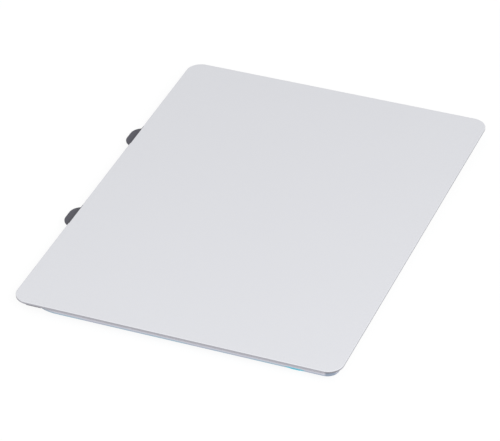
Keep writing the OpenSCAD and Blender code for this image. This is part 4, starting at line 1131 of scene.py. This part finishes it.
class TRACKPAD_OT_frame(bpy.types.Operator):
    """Make the pressed frame with its windows, holes and beads"""

    bl_idname = "trackpad.frame"
    bl_label = "Support frame"

    def execute(self, context):
        look = context.scene.trackpad_steel
        burr = context.scene.trackpad_plate.burr / MM
        wall = chamfer(0.0, SHEET, burr)
        outline = around(FRAME_LOW, FRAME_HIGH, FRAME_CORNER, 16)
        holes = [
            rounded(-SLOT_HALF, SLOT_HALF, SLOT_FRONT, SLOT_REAR, WINDOW_CORNER),
            circle(0, SWITCH_Y, COLLAR_HOLE, 40),
        ]
        beads = []
        half = BEAD_WIDTH / 2
        for side in (-1, 1):
            x0, x1 = sorted((side * WINDOW_INNER, side * WINDOW_OUTER))
            holes.append(rounded(x0, x1, WINDOW_FRONT, WINDOW_REAR, WINDOW_CORNER))
            holes.append(rounded(x0, x1, HINGE_FRONT, HINGE_REAR, WINDOW_CORNER))
            holes.append(circle(side * TOOLING_X, RAIL_RIVET_Y, TOOLING_HOLE))
            holes += [circle(side * NUT_X, y, NUT_HOLE, 32) for y in (-NUT_Y, NUT_Y)]
            x = side * SIDE_BEAD_X
            beads.append(rounded(x - half, x + half, -SIDE_BEAD_HALF, SIDE_BEAD_HALF, half))
            x0, x1 = sorted((side * FRONT_BEAD_FROM, side * FRONT_BEAD_TO))
            beads.append(rounded(x0, x1, FRONT_BEAD_Y - half, FRONT_BEAD_Y + half, half))
        holes += [circle(x, RAIL_RIVET_Y, RIVET_HOLE, 20) for x in RIVET_XS]
        sheet = slab(
            [carry(outline, wall)] + [carry(as_hole(hole), wall) for hole in holes],
            [carry(bead, swell(BEAD_RAMP, BEAD_RISE, SHEET)) for bead in beads],
            [carry(turned_over(bead), swell(BEAD_RAMP, BEAD_RISE, 0.0)) for bead in beads],
        )
        steel = metal("frame_steel", look.sheet, 0.42, run=0, grain=6.0)
        add_piece("pressed_frame", sheet, steel, "frame", ["support_frame"])
        return {"FINISHED"}


class TRACKPAD_OT_hinge(bpy.types.Operator):
    """Make the spring leaves between frame and pad, and the snap dome, and finish the blocks"""

    bl_idname = "trackpad.hinge"
    bl_label = "Spring hinge"

    def execute(self, context):
        look = context.scene.trackpad_steel
        burr = context.scene.trackpad_plate.burr / MM
        spring = metal("spring_steel", look.spring, 0.33, run=90, grain=8.0, relief=0.002, cloudy=0.06)
        leaf_x = middle(LEAF_LOW, LEAF_HIGH)[0]
        half = (LEAF_HIGH[0] - LEAF_LOW[0]) / 2
        rivet_half = (RIVET_XS[3] - RIVET_XS[2]) / 2
        wall = chamfer(LEAF_LOW[2], LEAF_HIGH[2], burr)
        for side, name in ((-1, "left"), (1, "right")):
            x = side * leaf_x
            outline = rounded(x - half, x + half, LEAF_LOW[1], LEAF_HIGH[1], LEAF_CORNER)
            x0, x1 = x - LEAF_SLOT_HALF, x + LEAF_SLOT_HALF
            slot = rounded(x0, x1, LEAF_SLOT_FRONT, LEAF_SLOT_REAR, LEAF_SLOT_CORNER)
            rivets = [(x + k * rivet_half, y) for k in (-1, 1) for y in (BLOCK_RIVET_Y, RAIL_RIVET_Y)]
            holes = [dense(slot, LEAF_STEP)] + [circle(*place, RIVET_HOLE, 20) for place in rivets]
            walls = [carry(loop, wall) for loop in (dense(outline, LEAF_STEP), *map(as_hole, holes))]
            piece = add_piece(
                f"spring_leaf_{name}", slab(walls), spring, None, [f"hinge_leaf_{name}"]
            )
            x * MM
            x * MM
            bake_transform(piece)
        dress(metal("aluminium", look.block, 0.36, run=0, grain=7.0), "hinge_blocks")
        dome = repeated(snap_dome(DOME_LOW, DOME_HIGH), [(0, SWITCH_Y, 0)])
        piece = add_piece("snap_dome", dome, spring, "pad", ["switch_dome"])
        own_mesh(piece)
        return {"FINISHED"}


class TRACKPAD_OT_fasteners(bpy.types.Operator):
    """Make the clinch nuts, the click collar, the rivets and the rubber buttons, and finish the screw"""

    bl_idname = "trackpad.fasteners"
    bl_label = "Fasteners"

    def execute(self, context):
        look = context.scene.trackpad_steel
        plated = metal("nut_steel", look.plated, 0.3, grain=5.0, relief=0.002)
        nuts = repeated(clinch_nut(), [(x, y, 0) for x in (-NUT_X, NUT_X) for y in (-NUT_Y, NUT_Y)])
        add_piece("clinch_nuts", nuts, plated, "frame", ["fixing_nuts"])

        top = COLLAR_TOP
        collar = repeated(ring_body([
            (COLLAR_RADIUS - 0.06, 0), (COLLAR_RADIUS, 0.06), (COLLAR_RADIUS, SHEET), (COLLAR_FLANGE, SHEET),
            (COLLAR_FLANGE, top - 0.04), (COLLAR_FLANGE - 0.04, top), (COLLAR_BORE + 0.1, top),
            (COLLAR_BORE, top - 0.1), (COLLAR_BORE, 0.14), (COLLAR_BORE + 0.14, 0),
        ]), [(0, SWITCH_Y, 0)])
        add_piece("click_collar", collar, plated, "frame", ["adjust_collar"])

        steel = metal("rivet_steel", shade(look.plated, 0.85), 0.26, grain=7.0, relief=0.002)
        for name, rivet, y, body, node in (
            ("block_rivets", self.block_rivet(), BLOCK_RIVET_Y, "pad", "pad_rivets"),
            ("rail_rivets", self.rail_rivet(), RAIL_RIVET_Y, "frame", "frame_rivets"),
        ):
            row = repeated(rivet, [(x, y, 0) for x in RIVET_XS])
            add_piece(name, row, steel, body, [node])

        rubber = moulded("rubber", look.rubber, 0.75, relief=0.01)
        buttons = repeated(self.button(), [(-STOP_PAD_X, -NUT_Y, 0), (STOP_PAD_X, -NUT_Y, 0)])
        add_piece("rubber_buttons", buttons, rubber, "frame", ["down_stops"], 45)
        dress(metal("screw_steel", shade(look.plated, 0.62), 0.3, grain=6.0), "adjust_screw")
        return {"FINISHED"}

    def block_rivet(self):
        """A rivet turned about Z: a domed head with a dent below the leaf, and a shank up into the block."""
        low, high, leaf = BLOCK_RIVET_LOW[2], BLOCK_RIVET_HIGH[2], LEAF_LOW[2]
        return turned(np.vstack([
            [(0.25, low + 0.05), (0.42, low + 0.005)],
            np.array(RIVET_CROWN) + [0, low],
            [(RIVET_HEAD, leaf), (RIVET_SHANK, leaf), (RIVET_SHANK, high - 0.05), (0.68, high)],
        ]))

    def rail_rivet(self):
        """A rivet turned about Z: a shank with a dent, up through the rail, and a domed head on the leaf."""
        low, high, leaf = RAIL_RIVET_LOW[2], RAIL_RIVET_HIGH[2], LEAF_HIGH[2]
        return turned(np.vstack([
            [(0.25, low + 0.06), (0.4, low + 0.005), (0.66, low), (RIVET_SHANK, low + 0.06)],
            [(RIVET_SHANK, leaf), (RIVET_HEAD, leaf)],
            (np.array(RIVET_CROWN) * [1, -1] + [0, high])[::-1],
        ]))

    def button(self):
        """A rubber button turned about Z: a flange, a step in, and a quarter round up to its flat top."""
        low, high, r = STOP_PAD_LOW[2], STOP_PAD_HIGH[2], STOP_PAD_RADIUS
        turn = np.linspace(0, np.pi / 2, 6)
        crown = np.stack([r - 0.4 + 0.3 * np.cos(turn), high - 0.3 + 0.3 * np.sin(turn)], axis=1)
        return turned(np.vstack([[(r, low), (r, low + 0.08), (r - 0.1, low + 0.18)], crown]), 40)


class TRACKPAD_OT_sockets(bpy.types.Operator):
    """Make the latches of the two cable sockets, and finish the sockets and the click switch"""

    bl_idname = "trackpad.sockets"
    bl_label = "Sockets and switch"

    def execute(self, context):
        look = context.scene.trackpad_parts
        black = moulded("black_plastic", look.black, 0.5)
        for name, contacts in (("host", HOST_CONTACTS), ("keyboard", KEYS_CONTACTS)):
            node = f"{name}_socket_latch"
            bar = latch_bar(*mm_box(node), contacts)
            add_piece(f"{name}_latch_bar", bar, black, f"{name}_latch", [node])
        dress(moulded("ivory_plastic", look.ivory, 0.5), "host_socket_housing", "keyboard_socket_housing")
        dress(bright_tin(look), "switch_terminals", "host_socket_anchors", "keyboard_socket_anchors")
        dress(tinned_sheet("cover_steel", look.tin), "switch_cover")
        dress(black, "switch_base")
        dress(moulded("grey_plastic", look.grey, 0.45), "switch_plunger")
        return {"FINISHED"}


class TRACKPAD_OT_chips(bpy.types.Operator):
    """Make the chips with their leads, the shield's cover, the crystal and the inductor"""

    bl_idname = "trackpad.chips"
    bl_label = "Chips and shield"

    def execute(self, context):
        look = context.scene.trackpad_parts
        epoxy = moulded("chip_epoxy", look.epoxy, 0.6, fleck=(0.06, 0.06, 0.065))
        for node in ("touch_controller", "memory_chip", "voltage_regulator"):
            add_under(f"{node}_body", chip_body(*mm_box(node)), epoxy, [node], 25)
        dress(epoxy, "driver_chip")
        add_under("chip_legs", self.legs(), bright_tin(look), ["chip_leads"], 40)
        sheet = tinned_sheet("tinned_steel", look.tin)
        add_under("shield_cover", self.cover(), sheet, ["shield_lid"])
        dress(sheet, "shield_fence")
        add_under("crystal_can", self.can(), sheet, ["crystal"])
        ferrite = moulded("ferrite", look.ferrite, 0.65, fleck=shade(look.ferrite, 2.2))
        add_under("choke_body", self.choke(), ferrite, ["inductor"])
        return {"FINISHED"}

    def cover(self):
        """A lid of thin sheet with a skirt and rounded top edge, and six vents through its top."""
        top, skirt, sheet = UNDER - LID_LOW[2], UNDER - LID_HIGH[2], CAN_SHEET
        wall = carry(around(LID_LOW, LID_HIGH, 0.35, 6), [
            (sheet + 0.08, top - sheet), (sheet, top - sheet - 0.08), (sheet, skirt), (0, skirt),
            (0, top - 0.2), (0.04, top - 0.1), (0.1, top - 0.04), (0.2, top),
        ])
        x, y = middle(LID_LOW, LID_HIGH)
        vents = [circle(x + i * VENT_X, y + k * VENT_Y, VENT_RADIUS) for i in (-1, 0, 1) for k in (-1, 1)]
        return slab([wall] + [carry(as_hole(vent), chamfer(top - sheet, top, 0.02)) for vent in vents])

    def can(self):
        """A drawn can: a flange on the board, and a wall that leans in to a rounded top."""
        top = UNDER - CRYSTAL_LOW[2]
        return capped(carry(around(CRYSTAL_LOW, CRYSTAL_HIGH, 0.4, 8), [
            (0.03, 0), (0, 0.04), (0, 0.26), (0.03, 0.3), (0.14, 0.31), (0.19, 0.35), (0.22, top - 0.1),
            (0.26, top - 0.03), (0.34, top),
        ]))

    def choke(self):
        """A pressed block with eased edges and a round dent over its winding."""
        top = UNDER - CHOKE_LOW[2]
        wall = carry(around(CHOKE_LOW, CHOKE_HIGH, 0.5, 8), [
            (0.04, 0), (0, 0.06), (0, top - 0.14), (0.04, top - 0.05), (0.14, top),
        ])
        dent = circle(*middle(CHOKE_LOW, CHOKE_HIGH), 1.05, 40)
        return slab([wall], [carry(dent, swell(0.1, -0.07, top))])

    def legs(self):
        """Bent leads along an S-shaped path, and the controller's flat ones on all four sides."""
        foot, shelf = LEAD_THICK / 2, LEAD_RISE + LEAD_THICK / 2
        lead = strip([
            (-0.12, shelf), (0.16, shelf), (0.25, shelf - 0.02), (0.32, shelf - 0.08), (0.37, shelf - 0.18),
            (0.42, foot + 0.09), (0.48, foot + 0.025), (0.58, foot), (LEAD_LONG, foot),
        ], LEAD_WIDE, LEAD_THICK)
        memory = MEMORY_X + evenly(4, MEMORY_PITCH)
        regulator = REGULATOR_X + evenly(3, REGULATOR_PITCH)
        places = [(x, y, turn) for x in memory for y, turn in ((MEMORY_HIGH[1], 0), (MEMORY_LOW[1], 180))]
        places += [(x, REGULATOR_HIGH[1], 0) for x in regulator]
        places += [(x, REGULATOR_LOW[1], 180) for x in regulator[::2]]
        half, reach = CONTROLLER_LEAD_WIDE / 2, CONTROLLER_HIGH[1] - CONTROLLER_Y
        flat = block(-half, half, reach - 0.05, reach + CONTROLLER_LEAD_LONG, CONTROLLER_LEAD_HIGH, 0.04)
        row = repeated(flat, [(x, 0, 0) for x in evenly(CONTROLLER_LEADS, CONTROLLER_PITCH)])
        sides = repeated(row, [(CONTROLLER_X, CONTROLLER_Y, turn) for turn in (0, 90, 180, 270)])
        return gather([repeated(lead, places), sides])


class TRACKPAD_OT_passives(bpy.types.Operator):
    """Make the capacitors and resistors with their metal ends and solder"""

    bl_idname = "trackpad.passives"
    bl_label = "Capacitors and resistors"

    def execute(self, context):
        look = context.scene.trackpad_parts
        capacitors, resistors, bulk = self.sites()
        ceramic = moulded("capacitor_ceramic", look.ceramic, 0.4)
        glaze = glazed("resistor_glaze", look.glaze, look.alumina, UNDER - RESISTOR_HIGH + 0.07)
        small, large = (PASSIVE_LONG, PASSIVE_WIDE, PASSIVE_END), (BULK_LONG, BULK_WIDE, BULK_END)
        ends, solder = [], []
        for name, sites, (length, width, end), height, finish, slot, node in (
            ("capacitor", capacitors, small, CAPACITOR_HIGH, ceramic, "capacitor_ceramic", "capacitors"),
            ("resistor", resistors, small, RESISTOR_HIGH, glaze, "resistor_glaze", "resistors"),
            ("bulk", bulk, large, BULK_HIGH, ceramic, "capacitor_ceramic", "bulk_capacitors"),
        ):
            half, side = length / 2 - end + 0.02, width / 2
            body = block(-half, half, 0.02 - side, side - 0.02, height - 0.015, 0.03)
            add_under(f"{name}_bodies", repeated(body, sites), finish, [node])
            tips = at_ends(sites, length / 2)
            ends.append(repeated(block(-end, 0, -side, side, height, 0.06), tips))
            solder.append(repeated(fillet(width, SOLDER_REACH, height * SOLDER_SHARE), tips - [0, 0, 90]))
        add_under("metal_ends", gather(ends), bright_tin(look), ["end_caps"])
        add_under("solder_fillets", gather(solder), metal("solder", look.tin, 0.2, grain=3.0), (), 60)
        return {"FINISHED"}

    def sites(self):
        """The places of small capacitors, resistors and large capacitors: x, y and an angle in degrees."""
        steps, pair = evenly(ROUND_COUNT, PASSIVE_PITCH), evenly(2, PASSIVE_PITCH)
        capacitors = [(CONTROLLER_LOW[0] - CAPACITOR_OUT, CONTROLLER_Y + k, 0) for k in steps]
        capacitors += [(CONTROLLER_X + k, CONTROLLER_LOW[1] - CAPACITOR_OUT, 90) for k in steps]
        capacitors += [(REGULATOR_X + k, REGULATOR_CAP_Y, 90) for k in pair]
        capacitors += [(CRYSTAL_X + k, CRYSTAL_CAP_Y, 90) for k in pair]
        capacitors += [(x, FRONT_ROW_Y, 0) for x in spread(FRONT_COUNT)]
        resistors = [(-x, y, 0) for x in spread(FIELD_COUNT) for y in FIELD_ROWS_Y]
        resistors += [(x, RESISTOR_ROW_Y, 90) for x in spread(RESISTOR_COUNT)]
        bulk = [(CONTROLLER_X + k, FRONT_ROW_Y, 90) for k in evenly(BULK_COUNT, BULK_PITCH)]
        return capacitors, resistors, bulk


class TRACKPAD_OT_stage(bpy.types.Operator):
    """Set the floor, the even light, two soft lamps and the camera"""

    bl_idname = "trackpad.stage"
    bl_label = "Studio"

    def execute(self, context):
        look = context.scene.trackpad_stage
        scene = context.scene
        scene.view_settings.view_transform = "Standard"

        camera = bpy.data.objects.new("camera", bpy.data.cameras.new("camera"))
        camera.data.sensor_width = SENSOR_MM
        camera.data.lens = look.lens
        axes = Matrix((CAMERA_RIGHT, CAMERA_UP, CAMERA_BACK)).transposed()
        camera.matrix_world = Matrix.Translation(look.place) @ axes.to_4x4()
        scene.collection.objects.link(camera)
        scene.camera = camera

        def lamp(name, power, place, width):
            data = bpy.data.lights.new(name, "AREA")
            data.energy = power
            data.size = width
            obj = bpy.data.objects.new(name, data)
            obj.location = place
            obj.rotation_euler = (-Vector(place)).to_track_quat("-Z", "Y").to_euler()
            scene.collection.objects.link(obj)

        lamp("key_lamp", look.key, KEY_PLACE, KEY_WIDE)
        lamp("fill_lamp", look.fill, FILL_PLACE, FILL_WIDE)

        world = bpy.data.worlds.new("even_light")
        scene.world = world
        sky = Nodes(world)
        level = sky.node("ShaderNodeMapRange", None,
                         {"Value": self.seen_directly(sky), "To Min": look.ambient, "To Max": 1.0})
        background = world.node_tree.nodes["Background"]
        sky.feed(background.inputs["Color"], (1, 1, 1))
        sky.feed(background.inputs["Strength"], level)

        square = ((-1, -1), (1, -1), (1, 1), (-1, 1))
        corners = [(x * FLOOR_HALF, y * FLOOR_HALF, -FLOOR_GAP) for x, y in square]
        mesh = bpy.data.meshes.new("floor")
        mesh.from_pydata(corners, [], [(0, 1, 2, 3)])
        floor = bpy.data.objects.new("floor", mesh)
        scene.collection.objects.link(floor)
        mesh.materials.append(self.floor_finish(look.shadow))
        floor.visible_diffuse = False
        return {"FINISHED"}

    def seen_directly(self, nodes):
        """1 for rays from the camera, and for those that metal and glass send on, else 0."""
        camera, glossy, sent_on = (
            nodes.node("ShaderNodeLightPath", output=f"Is {kind} Ray")
            for kind in ("Camera", "Glossy", "Transmission")
        )
        return camera.math("MAXIMUM", camera.math("MAXIMUM", camera, glossy), sent_on)

    def floor_finish(self, shadow):
        """White where it is seen, with part of the object's shadow beside it and nearly all of it under the
        frame, and clear from below."""
        material = bpy.data.materials.new("pale_floor")
        nodes = Nodes(material)
        nodes.tree.nodes.clear()
        under = nodes.node("ShaderNodeLightPath", output="Is Camera Ray") * (DEEP_SHADOW - shadow)
        for name, reach in (("X", FRAME_HIGH[0]), ("Y", FRAME_HIGH[1])):
            under = under * (1 - abs(nodes.axis(name)).ramp(reach - FADE_IN, reach + FADE_OUT))
        white = nodes.node("ShaderNodeEmission", None, {"Strength": FLOOR_WHITE})
        matt = nodes.node("ShaderNodeBsdfDiffuse", None, {"Color": (1, 1, 1)})
        lit = nodes.node("ShaderNodeMixShader", None, {0: under + shadow, 1: white, 2: matt})
        below = nodes.node("ShaderNodeNewGeometry", output="Backfacing")
        clear = nodes.node("ShaderNodeBsdfTransparent")
        both = nodes.node("ShaderNodeMixShader", None, {0: below, 1: lit, 2: clear})
        nodes.node("ShaderNodeOutputMaterial", None, {"Surface": both}, None)
        return material


OPERATORS = (
    TRACKPAD_OT_touch_plate,
    TRACKPAD_OT_board,
    TRACKPAD_OT_frame,
    TRACKPAD_OT_hinge,
    TRACKPAD_OT_fasteners,
    TRACKPAD_OT_sockets,
    TRACKPAD_OT_chips,
    TRACKPAD_OT_passives,
    TRACKPAD_OT_stage,
)


class TRACKPAD_PT_panel(bpy.types.Panel):
    """Lists the module's pieces and their settings"""

    bl_idname = "TRACKPAD_PT_panel"
    bl_label = "Trackpad module"
    bl_space_type = "VIEW_3D"
    bl_region_type = "UI"
    bl_category = "Trackpad"

    def draw(self, context):
        for operator in OPERATORS:
            self.layout.operator(operator.bl_idname)
        for name, look in LOOKS.items():
            box = self.layout.box()
            for setting in look.__annotations__:
                box.prop(getattr(context.scene, name), setting)


CLASSES = (*LOOKS.values(), *OPERATORS, TRACKPAD_PT_panel)


def register():
    for cls in CLASSES:
        bpy.utils.register_class(cls)
    for name, look in LOOKS.items():
        setattr(bpy.types.Scene, name, bpy.props.PointerProperty(type=look))


def unregister():
    for name in LOOKS:
        delattr(bpy.types.Scene, name)
    for cls in reversed(CLASSES):
        bpy.utils.unregister_class(cls)


def main():
    register()
    for operator in OPERATORS:
        group, action = operator.bl_idname.split(".")
        getattr(getattr(bpy.ops, group), action)()


if __name__ == "__main__":
    main()
